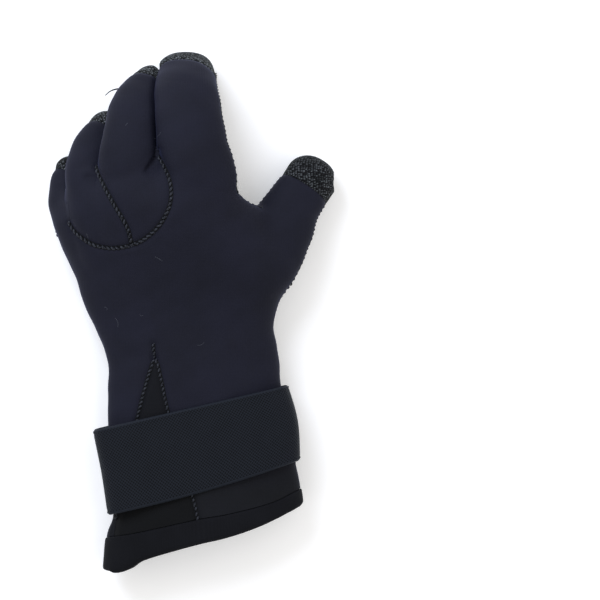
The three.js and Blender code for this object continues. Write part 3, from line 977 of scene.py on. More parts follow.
def largest_patch(faces: np.ndarray) -> tuple[np.ndarray, np.ndarray]:
    """The faces of the largest connected patch, and the rest: labels spread along edges until they stop changing."""
    used, local = np.unique(faces, return_inverse=True)
    local = local.reshape(-1, 3)
    label = np.arange(len(used))
    while True:
        lowest = label[local].min(1)
        fresh = label.copy()
        for k in range(3):
            np.minimum.at(fresh, local[:, k], lowest)
        fresh = fresh[fresh]
        if np.array_equal(fresh, label):
            break
        label = fresh
    patch = label[local[:, 0]]
    biggest = np.bincount(patch).argmax()
    return faces[patch == biggest], faces[patch != biggest]


def to_linear(hex_colour: str) -> tuple[float, float, float, float]:
    """An sRGB hex colour as linear red, green, blue and alpha: ((c + 0.055) / 1.055)^2.4, or c / 12.92 when dark."""
    parts = [int(hex_colour[k : k + 2], 16) / 255 for k in (1, 3, 5)]
    red, green, blue = (c / 12.92 if c <= 0.04045 else ((c + 0.055) / 1.055) ** 2.4 for c in parts)
    return (red, green, blue, 1.0)


def add_node(tree: bpy.types.NodeTree, kind: str, settings: dict | None = None, **inputs: object) -> bpy.types.Node:
    """Adds a node with its settings, and sets or links its inputs.

    Args:
        tree: the material's node tree.
        kind: the node's type.
        settings: properties of the node itself.
        inputs: values or output sockets, under the input's name with _ for a space, or in_0, in_1 for its number.

    Returns:
        The node.
    """
    node = tree.nodes.new(kind)
    for name, value in (settings or {}).items():
        setattr(node, name, value)
    for name, value in inputs.items():
        socket = node.inputs[int(name[3:]) if name.startswith("in_") else name.replace("_", " ")]
        if isinstance(value, bpy.types.NodeSocket):
            tree.links.new(value, socket)
        else:
            socket.default_value = value
    return node


def calculate(tree: bpy.types.NodeTree, operation: str, *values: object, clamp: bool = False) -> bpy.types.Node:
    """Adds a maths node that works on up to three values or sockets."""
    inputs = {f"in_{k}": value for k, value in enumerate(values)}
    return add_node(tree, "ShaderNodeMath", {"operation": operation, "use_clamp": clamp}, **inputs)


def mix_colours(tree: bpy.types.NodeTree, share: bpy.types.NodeSocket, low: object, high: object) -> bpy.types.Node:
    """Adds a node that goes from one colour to another by a share."""
    return add_node(tree, "ShaderNodeMix", {"data_type": "RGBA"}, in_0=share, in_6=low, in_7=high)


def remap(
    tree: bpy.types.NodeTree,
    value: bpy.types.NodeSocket,
    low: float,
    high: float,
    first: float = 0.0,
    last: float = 1.0,
) -> bpy.types.Node:
    """Adds a node that maps a value from low..high onto first..last, and keeps it there."""
    ends = {"From_Min": low, "From_Max": high, "To_Min": first, "To_Max": last}
    return add_node(tree, "ShaderNodeMapRange", {"clamp": True}, Value=value, **ends)


@dataclass(frozen=True)
class Finish:
    """A cloth's or thread's finish: its colours and the values that its gloss starts from."""

    name: str
    dark: str
    light: str
    roughness: float
    sheen: float
    sheen_tint: str

    def start(self) -> tuple[bpy.types.Material, bpy.types.NodeTree, bpy.types.Node]:
        """A material with its shader: cloth has an IOR of 1.5, no metal and a soft sheen from its fibres."""
        material = bpy.data.materials.new(self.name)
        material.use_nodes = True
        tree = material.node_tree
        shader = tree.nodes["Principled BSDF"]
        shader.inputs["Roughness"].default_value = self.roughness
        shader.inputs["Metallic"].default_value = 0.0
        shader.inputs["IOR"].default_value = 1.5
        shader.inputs["Specular IOR Level"].default_value = 0.12
        shader.inputs["Sheen Weight"].default_value = self.sheen
        shader.inputs["Sheen Roughness"].default_value = 0.3
        shader.inputs["Sheen Tint"].default_value = to_linear(self.sheen_tint)
        return material, tree, shader

    def colour(self, tree: bpy.types.NodeTree, shader: bpy.types.Node, share: bpy.types.NodeSocket) -> None:
        """Mixes the dark and the light colour by a share and gives it to the shader."""
        mixed = mix_colours(tree, share, to_linear(self.dark), to_linear(self.light))
        tree.links.new(mixed.outputs[2], shader.inputs["Base Color"])

    def bump(self, tree: bpy.types.NodeTree, shader: bpy.types.Node, height: bpy.types.NodeSocket, depth_mm: float) -> None:
        """Raises the surface by a height, up to a depth in millimetres."""
        raised = add_node(tree, "ShaderNodeBump", Strength=1.0, Distance=depth_mm * MM, Height=height)
        tree.links.new(raised.outputs["Normal"], shader.inputs["Normal"])


@dataclass(frozen=True)
class NylonJersey(Finish):
    """Nylon jersey laminated on foam neoprene: fine wales, a matt face with a slight sheen at grazing angles, and a
    tone that is a little uneven at random; from under the strap down to the cuff its colour is darkened as painted
    shade."""

    wale_mm: float = 1.0  # real wales are about 0.5 mm apart, too fine to show
    course_mm: float = 0.8
    mottle_mm: float = 34.0
    cuff_y: float = -0.09  # metres; below here, from under the strap down to the cuff, the base colour is darkened as painted shade
    cuff_tint: tuple[float, float, float] = (0.66, 0.69, 0.5)  # what its base colour is multiplied by there, as painted shade

    def material(self) -> bpy.types.Material:
        """Builds the nodes on object coordinates."""
        made, tree, shader = self.start()
        place = add_node(tree, "ShaderNodeTexCoord").outputs["Object"]
        broad = 1 / (self.mottle_mm * MM)
        mottle = add_node(tree, "ShaderNodeTexNoise", Vector=place, Scale=broad, Detail=3.0, Roughness=0.6)
        grain = add_node(tree, "ShaderNodeTexNoise", Vector=place, Scale=1 / (1.6 * MM), Detail=2.0, Roughness=0.7)
        wales = add_node(
            tree,
            "ShaderNodeTexWave",
            {"wave_type": "BANDS", "bands_direction": "X", "wave_profile": "SIN"},
            Vector=place,
            Scale=0.314 / (self.wale_mm * MM),
            Distortion=1.2,
            Detail=1.0,
            Detail_Scale=2.0,
        )
        courses = add_node(
            tree,
            "ShaderNodeTexWave",
            {"wave_type": "BANDS", "bands_direction": "Y", "wave_profile": "SIN"},
            Vector=place,
            Scale=0.314 / (self.course_mm * MM),
            Distortion=1.2,
            Detail=1.0,
            Detail_Scale=2.0,
        )
        knit = calculate(tree, "MULTIPLY", wales.outputs["Fac"], courses.outputs["Fac"])
        tone = calculate(tree, "MULTIPLY_ADD", knit.outputs[0], 0.22, mottle.outputs["Fac"])
        grained = calculate(tree, "MULTIPLY_ADD", grain.outputs["Fac"], 0.3, tone.outputs[0])
        share = remap(tree, grained.outputs[0], 0.42, 0.98)
        mixed = mix_colours(tree, share.outputs[0], to_linear(self.dark), to_linear(self.light))
        # Painted shade: the base colour is multiplied by the cuff's tint, from under the strap down to the cuff.
        height_of = add_node(tree, "ShaderNodeSeparateXYZ", Vector=place)
        cuff_shade_ramp = add_node(
            tree,
            "ShaderNodeMapRange",
            {"clamp": True},
            Value=height_of.outputs[1],
            From_Min=self.cuff_y - 0.02,
            From_Max=self.cuff_y + 0.02,
        )
        tint = mix_colours(tree, cuff_shade_ramp.outputs[0], (*self.cuff_tint, 1.0), (1.0, 1.0, 1.0, 1.0))
        shaded_base = add_node(tree, "ShaderNodeVectorMath", {"operation": "MULTIPLY"}, in_0=mixed.outputs[2], in_1=tint.outputs[2])
        tree.links.new(shaded_base.outputs[0], shader.inputs["Base Color"])
        rough = add_node(
            tree, "ShaderNodeMapRange", Value=mottle.outputs["Fac"], To_Min=self.roughness - 0.06, To_Max=self.roughness + 0.08
        )
        tree.links.new(rough.outputs[0], shader.inputs["Roughness"])
        height = calculate(tree, "MULTIPLY_ADD", grain.outputs["Fac"], 0.6, knit.outputs[0])
        self.bump(tree, shader, height.outputs[0], 0.06)
        return made


@dataclass(frozen=True)
class GripKnit(Finish):
    """Cut-resistant gripping knit: thick light and dark yarns twisted together, so that short pale flecks stand in
    diagonal rows on black, with a rough dry face."""

    fleck_mm: float = 1.4
    tips_y: float = 0.115  # metres; past here, stretched over the fingertips, the knit shows more of its pale yarn
    palm_share: float = 0.42
    tips_share: float = 0.75
    fleck_long: float = 0.62  # a fleck's width as a share of its length
    lay_degrees: float = 38.0  # how the rows of flecks slant

    def material(self) -> bpy.types.Material:
        """Builds the nodes on the cloth's own map, which is in millimetres."""
        made, tree, shader = self.start()
        cloth = add_node(tree, "ShaderNodeUVMap", {"uv_map": "cloth"}).outputs["UV"]
        turned = add_node(tree, "ShaderNodeMapping", Vector=cloth, Rotation=(0, 0, math.radians(self.lay_degrees)))
        squeezed = add_node(tree, "ShaderNodeMapping", Vector=turned.outputs[0], Scale=(self.fleck_long, 1.0, 1.0))
        flecks = add_node(
            tree,
            "ShaderNodeTexVoronoi",
            {"voronoi_dimensions": "2D", "feature": "F1"},
            Vector=squeezed.outputs[0],
            Scale=1 / self.fleck_mm * 1.25,
            Randomness=0.55,
        )
        body = remap(tree, flecks.outputs["Distance"], 0.16, 0.5, 1.0, 0.0)
        shade = add_node(tree, "ShaderNodeSeparateColor", Color=flecks.outputs["Color"])
        bright = remap(tree, shade.outputs[0], 0.15, 0.95, 0.08, 1.0)
        patch = add_node(tree, "ShaderNodeTexNoise", {"noise_dimensions": "2D"}, Vector=cloth, Scale=1 / 5.0, Detail=2.0)
        patched = remap(tree, patch.outputs["Fac"], 0.3, 0.7, 0.65, 1.15)
        place = add_node(tree, "ShaderNodeTexCoord").outputs["Object"]
        axes = add_node(tree, "ShaderNodeSeparateXYZ", Vector=place)
        stretched = add_node(
            tree,
            "ShaderNodeMapRange",
            {"clamp": True},
            Value=axes.outputs[1],
            From_Min=self.tips_y - 0.01,
            From_Max=self.tips_y + 0.01,
            To_Min=self.palm_share,
            To_Max=self.tips_share,
        )
        pale = calculate(tree, "MULTIPLY", body.outputs[0], stretched.outputs[0])
        share = calculate(tree, "MULTIPLY", pale.outputs[0], bright.outputs[0])
        toned = calculate(tree, "MULTIPLY", share.outputs[0], patched.outputs[0], clamp=True)
        self.colour(tree, shader, toned.outputs[0])
        self.bump(tree, shader, body.outputs[0], 0.3)
        return made


@dataclass(frozen=True)
class HemKnit(Finish):
    """Folded binding knit over the cuff's edge: ribs a millimetre and a half apart, matt, almost black, a little fuzzy."""

    rib_mm: float = 1.5

    def material(self) -> bpy.types.Material:
        """Builds the nodes on the cloth's own map, which is in millimetres."""
        made, tree, shader = self.start()
        cloth = add_node(tree, "ShaderNodeUVMap", {"uv_map": "cloth"}).outputs["UV"]
        place = add_node(tree, "ShaderNodeTexCoord").outputs["Object"]
        ribs = add_node(
            tree,
            "ShaderNodeTexWave",
            {"wave_type": "BANDS", "bands_direction": "X", "wave_profile": "SIN"},
            Vector=cloth,
            Scale=0.314 / self.rib_mm,
            Distortion=0.8,
            Detail=1.0,
        )
        fuzz = add_node(tree, "ShaderNodeTexNoise", Vector=place, Scale=1 / (1.1 * MM), Detail=3.0, Roughness=0.7)
        mottle = add_node(tree, "ShaderNodeTexNoise", Vector=place, Scale=1 / (22 * MM), Detail=2.0)
        tone = calculate(tree, "MULTIPLY_ADD", ribs.outputs["Fac"], 0.15, mottle.outputs["Fac"])
        fuzzed = calculate(tree, "MULTIPLY_ADD", fuzz.outputs["Fac"], 0.5, tone.outputs[0])
        share = remap(tree, fuzzed.outputs[0], 0.5, 1.2)
        self.colour(tree, shader, share.outputs[0])
        height = calculate(tree, "MULTIPLY_ADD", fuzz.outputs["Fac"], 1.4, ribs.outputs["Fac"])
        self.bump(tree, shader, height.outputs[0], 0.06)
        return made


@dataclass(frozen=True)
class ElasticWebbing(Finish):
    """Woven elastic webbing: raised threads cross in a diamond lattice over dark rubber cores, between plain selvedges."""

    diamond_mm: float = 2.0
    width_mm: float = 50.0
    selvedge_mm: float = 1.3

    def material(self) -> bpy.types.Material:
        """Builds the nodes on the cloth's own map: u runs round the strap and v across it, in millimetres."""
        made, tree, shader = self.start()
        cloth = add_node(tree, "ShaderNodeUVMap", {"uv_map": "cloth"}).outputs["UV"]
        axes = add_node(tree, "ShaderNodeSeparateXYZ", Vector=cloth)
        lines = []
        for operation in ("ADD", "SUBTRACT"):
            slanted = calculate(tree, operation, axes.outputs[0], axes.outputs[1])
            turns = calculate(tree, "MULTIPLY", slanted.outputs[0], math.pi / self.diamond_mm)
            wave = calculate(tree, "SINE", turns.outputs[0])
            lines.append(calculate(tree, "ABSOLUTE", wave.outputs[0]))
        hollow = calculate(tree, "MINIMUM", lines[0].outputs[0], lines[1].outputs[0])
        thread = remap(tree, hollow.outputs[0], 0.25, 0.8, 1.0, 0.0)
        centred = calculate(tree, "SUBTRACT", axes.outputs[1], self.width_mm / 2)
        outwards = calculate(tree, "ABSOLUTE", centred.outputs[0])
        edge = add_node(
            tree,
            "ShaderNodeMapRange",
            {"clamp": True},
            Value=outwards.outputs[0],
            From_Min=self.width_mm / 2 - self.selvedge_mm - 0.3,
            From_Max=self.width_mm / 2 - self.selvedge_mm + 0.3,
        )
        fuzz = add_node(tree, "ShaderNodeTexNoise", Vector=cloth, Scale=1 / 0.8, Detail=2.0)
        patch = add_node(tree, "ShaderNodeTexNoise", Vector=cloth, Scale=1 / 14.0, Detail=2.0)
        woven = add_node(tree, "ShaderNodeMix", in_0=edge.outputs[0], in_2=thread.outputs[0], in_3=1.25)
        toned = calculate(tree, "MULTIPLY_ADD", fuzz.outputs["Fac"], 0.35, woven.outputs[0])
        faded = calculate(tree, "MULTIPLY_ADD", patch.outputs["Fac"], 0.3, toned.outputs[0])
        share = remap(tree, faded.outputs[0], 0.2, 1.3)
        self.colour(tree, shader, share.outputs[0])
        self.bump(tree, shader, woven.outputs[0], 0.25)
        return made


@dataclass(frozen=True)
class HookTape(Finish):
    """Hook-and-loop tape: short stiff nylon hooks in close rows, which catch points of light on black."""

    hook_mm: float = 1.5

    def material(self) -> bpy.types.Material:
        """Builds the nodes on object coordinates."""
        made, tree, shader = self.start()
        place = add_node(tree, "ShaderNodeTexCoord").outputs["Object"]
        per_metre = 1 / (self.hook_mm * MM)
        hooks = add_node(tree, "ShaderNodeTexVoronoi", {"feature": "F1"}, Vector=place, Scale=per_metre, Randomness=0.4)
        share = remap(tree, hooks.outputs["Distance"], 0.1, 0.5, 1.0, 0.0)
        self.colour(tree, shader, share.outputs[0])
        self.bump(tree, shader, share.outputs[0], 0.4)
        return made


@dataclass(frozen=True)
class SeamThread(Finish):
    """Bonded polyester thread, thick, slightly glossy and twisted: fine slanted plies that show as light and dark."""

    ply_mm: float = 0.9

    def material(self) -> bpy.types.Material:
        """Builds the nodes on object coordinates."""
        made, tree, shader = self.start()
        place = add_node(tree, "ShaderNodeTexCoord").outputs["Object"]
        plies = add_node(tree, "ShaderNodeTexNoise", Vector=place, Scale=1 / (self.ply_mm * MM), Detail=2.0, Roughness=0.6)
        share = remap(tree, plies.outputs["Fac"], 0.35, 0.65)
        self.colour(tree, shader, share.outputs[0])
        self.bump(tree, shader, plies.outputs["Fac"], 0.1)
        return made


NAVY = NylonJersey("navy_nylon_jersey_on_neoprene", "#14151f", "#1b1c29", 0.72, 0.4, "#5b6394")
# The dart's black jersey gets the same painted shade below the strap, with its own tint.
BLACK = NylonJersey(
    "black_nylon_jersey_on_neoprene", "#0a0b10", "#0f1116", 0.72, 0.15, "#5f6670", cuff_tint=(0.62, 0.64, 0.56)
)
GRIP = GripKnit("black_and_grey_gripping_knit", "#07080a", "#8a9096", 0.85, 0.15, "#9aa3a0")
HEM = HemKnit("black_folded_binding_knit", "#0a0b0f", "#121318", 0.85, 0.15, "#70757c")
WEBBING = ElasticWebbing("black_woven_elastic_webbing", "#020305", "#1c2028", 0.7, 0.15, "#8b95a0")
HOOKS = HookTape("black_hook_tape", "#0c0c0e", "#303236", 0.6, 0.1, "#808080")
THREAD = SeamThread("black_bonded_thread", "#0b0c10", "#383b43", 0.38, 0.1, "#909090")
# Near-black thread for the loose end, and for the strip under the stitches, where its dark is partly painted shade
# beside the stitches.
DARK_THREAD_AND_SHADE = SeamThread("black_thread_and_painted_shade", "#060709", "#0d0e12", 0.7, 0.1, "#707070")


class Body(Enum):
    """The one body that the glove's pieces ride on."""

    GLOVE = "root"


@dataclass
class Workshop:
    """Writes finished pieces into the scene, in the model's frame."""

    form: GloveForm

    def __post_init__(self) -> None:
        """Finds how far the model's frame lies from the maker's: the strap's closure has its middle on a body row."""
        low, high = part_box("strap_closure")
        middle = np.array([(low[k] + high[k]) / 2 for k in range(2)]) / MM
        y = self.form.body.knots[STRAP_ROWS[1]]
        self.shift = np.array([*(middle - [self.form.body.at("x", np.array([y]))[0], y]), 0.0])
        log.info("the model's frame is shifted by %.3f, %.3f mm", *self.shift[:2])

    def write(
        self,
        name: str,
        points: np.ndarray,
        faces: np.ndarray,
        material: bpy.types.Material,
        cloth: np.ndarray | None = None,
        sharp: float | None = 50.0,
    ) -> bpy.types.Object:
        """Makes a mesh object that rides on the glove's body.

        Args:
            name: the piece's name.
            points: an (n, 3) array in millimetres.
            faces: an (m, 3) or (m, 4) array of point numbers, turned outwards.
            material: its finish.
            cloth: the cloth's own map, one pair of millimetres for each corner of each face.
            sharp: the angle in degrees past which an edge isn't shaded smooth, or None.

        Returns:
            The object.
        """
        mesh = bpy.data.meshes.new(name)
        sides = faces.shape[1]
        mesh.vertices.add(len(points))
        mesh.vertices.foreach_set("co", ((points + self.shift) * MM).astype(np.float32).ravel())
        mesh.loops.add(faces.size)
        mesh.loops.foreach_set("vertex_index", faces.astype(np.int32).ravel())
        mesh.polygons.add(len(faces))
        mesh.polygons.foreach_set("loop_start", np.arange(0, faces.size, sides, dtype=np.int32))
        mesh.update(calc_edges=True)
        mesh.validate()
        mesh.polygons.foreach_set("use_smooth", np.ones(len(mesh.polygons), bool))
        if sharp is not None:
            mesh.set_sharp_from_angle(angle=math.radians(sharp))
        if cloth is not None:
            layer = mesh.uv_layers.new(name="cloth")
            layer.data.foreach_set("uv", cloth.astype(np.float32).ravel())
        mesh.materials.append(material)
        made = bpy.data.objects.new(name, mesh)
        bpy.context.scene.collection.objects.link(made)
        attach(made, Body.GLOVE.value)
        log.info("%s: %d faces", name, len(faces))
        return made


def grid_faces(rows: int, columns: int, ring_rows: bool, ring_columns: bool) -> np.ndarray:
    """The quads of a grid of points, closed round either way where asked."""
    r = np.arange(rows if ring_rows else rows - 1)[:, None]
    c = np.arange(columns if ring_columns else columns - 1)[None, :]
    a = r * columns + c
    b = r * columns + (c + 1) % columns
    d = ((r + 1) % rows) * columns + c
    e = ((r + 1) % rows) * columns + (c + 1) % columns
    return np.stack(np.broadcast_arrays(a, b, e, d), -1).reshape(-1, 4)


@dataclass
class Panels:
    """The neoprene skin, cut along its seams into the glove's sewn panels."""

    shop: Workshop
    seam_gap: float = 0.24
    hem_gap: float = 0.3
    knit_period: float = 1.45 * 4  # the gripping knit's map closes round a digit after a whole number of these

    def back_field(self, points: np.ndarray) -> np.ndarray:
        """Positive in the back's cloth, negative in the gripping cloth."""
        form = self.shop.form
        places = form.places(points)
        return form.back_depth(points, places, form.shares(places))

    def hem_field(self, points: np.ndarray) -> np.ndarray:
        """Positive on the hand's side of the hem line."""
        line = evenly(plan_line(HEM_LINE), 2.0)
        return points[:, 1] - self.hem_gap - np.interp(points[:, 0], line[:, 0], line[:, 1])

    def finger_field(self, points: np.ndarray, digit: int, outline: np.ndarray, start: float) -> np.ndarray:
        """Positive in a finger's own panel: in its part of the knuckles, or on the finger between its creases."""
        places = self.shop.form.places(points)
        own = places[digit]
        sides = [places[k].distance - own.distance for k in (digit - 1, digit + 1)]
        on_finger = np.minimum(np.minimum(*sides) / 2, own.along - start * self.shop.form.digits[digit - 1].length)
        return np.maximum(inside_depth(points, outline), on_finger)

    def middle_field(self, points: np.ndarray) -> np.ndarray:
        """Positive in the middle finger's panel."""
        knuckle = evenly(plan_line(KNUCKLE_SEAM), 1.5)
        fork = int(np.argmin(np.linalg.norm(knuckle - plan_line(DIVIDER_SEAM)[0], axis=1)))
        outline = np.vstack([knuckle[: fork + 1], evenly(plan_line(DIVIDER_SEAM), 1.5)[1:]])
        return self.finger_field(points, 2, outline, 0.3)

    def ring_field(self, points: np.ndarray) -> np.ndarray:
        """Positive in the ring finger's panel."""
        knuckle = evenly(plan_line(KNUCKLE_SEAM), 1.5)
        fork = int(np.argmin(np.linalg.norm(knuckle - plan_line(DIVIDER_SEAM)[0], axis=1)))
        outline = np.vstack([knuckle[fork:], plan_line(RING_CREASE), evenly(plan_line(DIVIDER_SEAM), 1.5)[:0:-1]])
        return self.finger_field(points, 3, outline, 0.32)

    def gusset_field(self, points: np.ndarray) -> np.ndarray:
        """Positive in the dart over the wrist."""
        outline = np.vstack([evenly(plan_line(GUSSET_LEFT), 2.0), evenly(plan_line(GUSSET_RIGHT), 2.0)[1:]])
        return np.minimum(inside_depth(points, outline), points[:, 2] - STRAP_LIFT - 0.4 * HAND_DEPTH)

    def finish(self, skin: Skin, faces: np.ndarray) -> tuple[np.ndarray, np.ndarray, int]:
        """Gives a patch of skin its wall: the outside drawn back a little from the seams, an inside, and rims between.

        Args:
            skin: the skin that the faces are on.
            faces: the patch's faces.

        Returns:
            Points, triangles, and how many of the triangles are the outside, which come first.
        """
        form = self.shop.form
        used, local = np.unique(faces, return_inverse=True)
        local = local.reshape(-1, 3)
        points = form.settle(skin.points[used], rounds=2)
        out = unit(form.gradient(points))
        directed = np.vstack([local[:, [0, 1]], local[:, [1, 2]], local[:, [2, 0]]])
        key = directed[:, 0] * len(used) + directed[:, 1]
        twin = directed[:, 1] * len(used) + directed[:, 0]
        rim = directed[~np.isin(key, twin)]
        away = np.zeros_like(points)
        direction = np.cross(unit(points[rim[:, 1]] - points[rim[:, 0]]), out[rim[:, 0]])
        np.add.at(away, rim[:, 0], direction)
        np.add.at(away, rim[:, 1], direction)
        points = points - unit(away) * (np.linalg.norm(away, axis=1, keepdims=True) > 1e-6) * self.seam_gap / 2
        palm = np.clip((points[:, 1] - 50) / 40, 0, 1)[:, None]
        wall = NEOPRENE_WALL + (DIGIT_WALL - NEOPRENE_WALL) * palm
        inner = points - out * wall
        inner[:, 2] = np.maximum(inner[:, 2], 1.0)
        count = len(points)
        a, b = rim.T
        sides = np.vstack([np.stack([b, a, a + count], 1), np.stack([b, a + count, b + count], 1)])
        whole = np.vstack([local, local[:, ::-1] + count, sides])
        return np.vstack([points, inner]), whole, len(local)

    def knit_map(self, points: np.ndarray, faces: np.ndarray) -> np.ndarray:
        """The gripping knit's map in millimetres: round and along each digit, or across and along the palm.

        Args:
            points: the panel's points.
            faces: its triangles.

        Returns:
            One pair for each corner of each face.
        """
        form = self.shop.form
        places = form.places(points)
        distance = np.stack([p.distance for p in places])
        owner = distance[:, faces].mean(2).argmin(0)
        across, rise, along = (np.stack([getattr(p, k) for p in places]) for k in ("across", "rise", "along"))
        rows = owner[:, None]
        u, v, w = across[rows, faces], rise[rows, faces], along[rows, faces]
        girth = np.array([1.0] + [2 * math.pi * float(d.half.mean()) for d in form.digits])
        girth = np.round(girth / self.knit_period) * self.knit_period
        angle = np.arctan2(v, u) / (2 * math.pi)
        angle = angle - np.round(angle - angle[:, :1])
        return np.stack([np.where(rows > 0, angle * girth[rows], u), w], -1)

    def build(self) -> dict[str, bpy.types.Object]:
        """Cuts the skin and makes each panel.

        Returns:
            The panels' objects by the CAD node that each stands for.
        """
        points, faces = self.shop.form.surface()
        log.info("skin: %d points, %d triangles", len(points), len(faces))
        skin = Skin(points, faces)
        for strip in self.shop.form.relief.tuck_strips():
            skin.faces = np.vstack(skin.divided(partial(inside_depth, outline=strip)))
        skin.faces, _ = skin.divided(self.hem_field)
        skin.faces, palm = skin.divided(self.back_field)
        skin.faces, rest = skin.divided(self.middle_field)[::-1]
        middle = rest
        skin.faces, ring = skin.divided(self.ring_field)[::-1]
        back, gusset = skin.divided(self.gusset_field)[::-1]
        navy, black, grip = NAVY.material(), BLACK.material(), GRIP.material()
        plan = (
            ("back_of_glove", "back_panel", back, navy, "navy_neoprene"),
            ("middle_finger_back", "middle_finger_panel", middle, navy, "navy_neoprene"),
            ("ring_finger_back", "ring_finger_panel", ring, navy, "navy_neoprene"),
            ("palm_and_fingertips", "palm_panel", palm, grip, "grip_cloth"),
            ("wrist_dart", "wrist_gusset", gusset, black, "black_neoprene"),
        )
        made = {}
        for name, node, patch, material, slot in plan:
            patch, islands = largest_patch(patch)
            if len(islands):
                log.info("%s: %d faces in islands are left out", name, len(islands))
            shell, triangles, _ = self.finish(skin, patch)
            cloth = self.knit_map(shell, triangles) if node == "palm_panel" else None
            piece = self.shop.write(name, shell, triangles, material, cloth)
            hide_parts(node)
            made[node] = piece
        return made


@dataclass
class Hem:
    """The black binding that is folded over the cuff's edge, from the hem line round the edge to the inside."""

    shop: Workshop
    around: int = 280
    edge_points: int = 14
    proud: float = HEM_BINDING

    def edge_place(self, line: np.ndarray, angle: np.ndarray) -> np.ndarray:
        """The place along the body where each of its lengthwise lines meets a line seen from above."""
        body = self.shop.form.body
        smooth = evenly(line, 2.0)
        x = body.point(np.full(len(angle), -140.0), angle, np.zeros(len(angle)))[:, 0]
        y = np.interp(x, smooth[:, 0], smooth[:, 1])
        for _ in range(25):
            at = body.point(y, angle, np.zeros(len(angle)))
            y = y + 0.7 * (np.interp(at[:, 0], smooth[:, 0], smooth[:, 1]) - at[:, 1])
        return y

    def build(self) -> bpy.types.Object:
        """Sweeps the binding's profile round the cuff: out of the seam, along the band, round the edge and back inside.

        Returns:
            The piece that stands for the hem.
        """
        body = self.shop.form.body
        angle = np.linspace(0, 2 * math.pi, self.around, endpoint=False)
        top = self.edge_place(plan_line(HEM_LINE), angle)
        edge = self.edge_place(plan_line(CUFF_EDGE), angle)
        radius = (NEOPRENE_WALL + 2 * self.proud) / 2
        turn = np.linspace(0, math.pi, self.edge_points)
        lip = np.array([(0.0, 0.4), (0.15, -0.35), (0.7, -0.75), (1.6, -self.proud), (3.2, -self.proud)])
        flat = np.linspace(0.2, 1, 9)
        rows, insets = [], []
        length = top - edge - radius
        for down, inset in lip:
            rows.append(top - down)
            insets.append(np.full(self.around, inset))
        for share in flat:
            rows.append(top - 3.2 - share * (length - 3.2))
            insets.append(np.full(self.around, -self.proud))
        for t in turn[1:]:
            rows.append(edge + radius - radius * math.sin(t))
            insets.append(np.full(self.around, -self.proud + radius * (1 - math.cos(t))))
        for share in np.linspace(0.2, 1, 6):
            rows.append(edge + radius + share * (length - 0.4))
            insets.append(np.full(self.around, NEOPRENE_WALL + self.proud))
        rows, insets = np.array(rows), np.array(insets)
        wave = 0.25 * np.sin(angle * 11 + 1.3) + 0.2 * np.sin(angle * 23 + 0.4)
        insets = insets + wave[None] * smooth_step(np.arange(len(rows))[:, None] / len(rows), 0.25, 0.6)
        wide = np.tile(angle, (len(rows), 1))
        points = body.point(rows.ravel(), wide.ravel(), insets.ravel()).reshape(len(rows), self.around, 3)
        points[..., 2] = soft_max(points[..., 2], np.full(points.shape[:2], 0.02), 1.4)
        steps = np.linalg.norm(np.diff(points, axis=0), axis=2).mean(1)
        across = np.concatenate([[0], np.cumsum(steps)])
        faces = grid_faces(len(rows), self.around, True, True)
        r, c = faces // self.around, faces % self.around
        c = np.where((c == 0) & (c.max(1, keepdims=True) == self.around - 1), self.around, c)
        v = np.where((r == 0) & (r.max(1, keepdims=True) == len(rows) - 1), across[-1] + NEOPRENE_WALL, across[r])
        cloth = np.stack([c * 2 * math.pi * 60 / self.around, v], -1)
        piece = self.shop.write("cuff_binding", points.reshape(-1, 3), faces, HEM.material(), cloth)
        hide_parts("cuff_hem")
        return piece


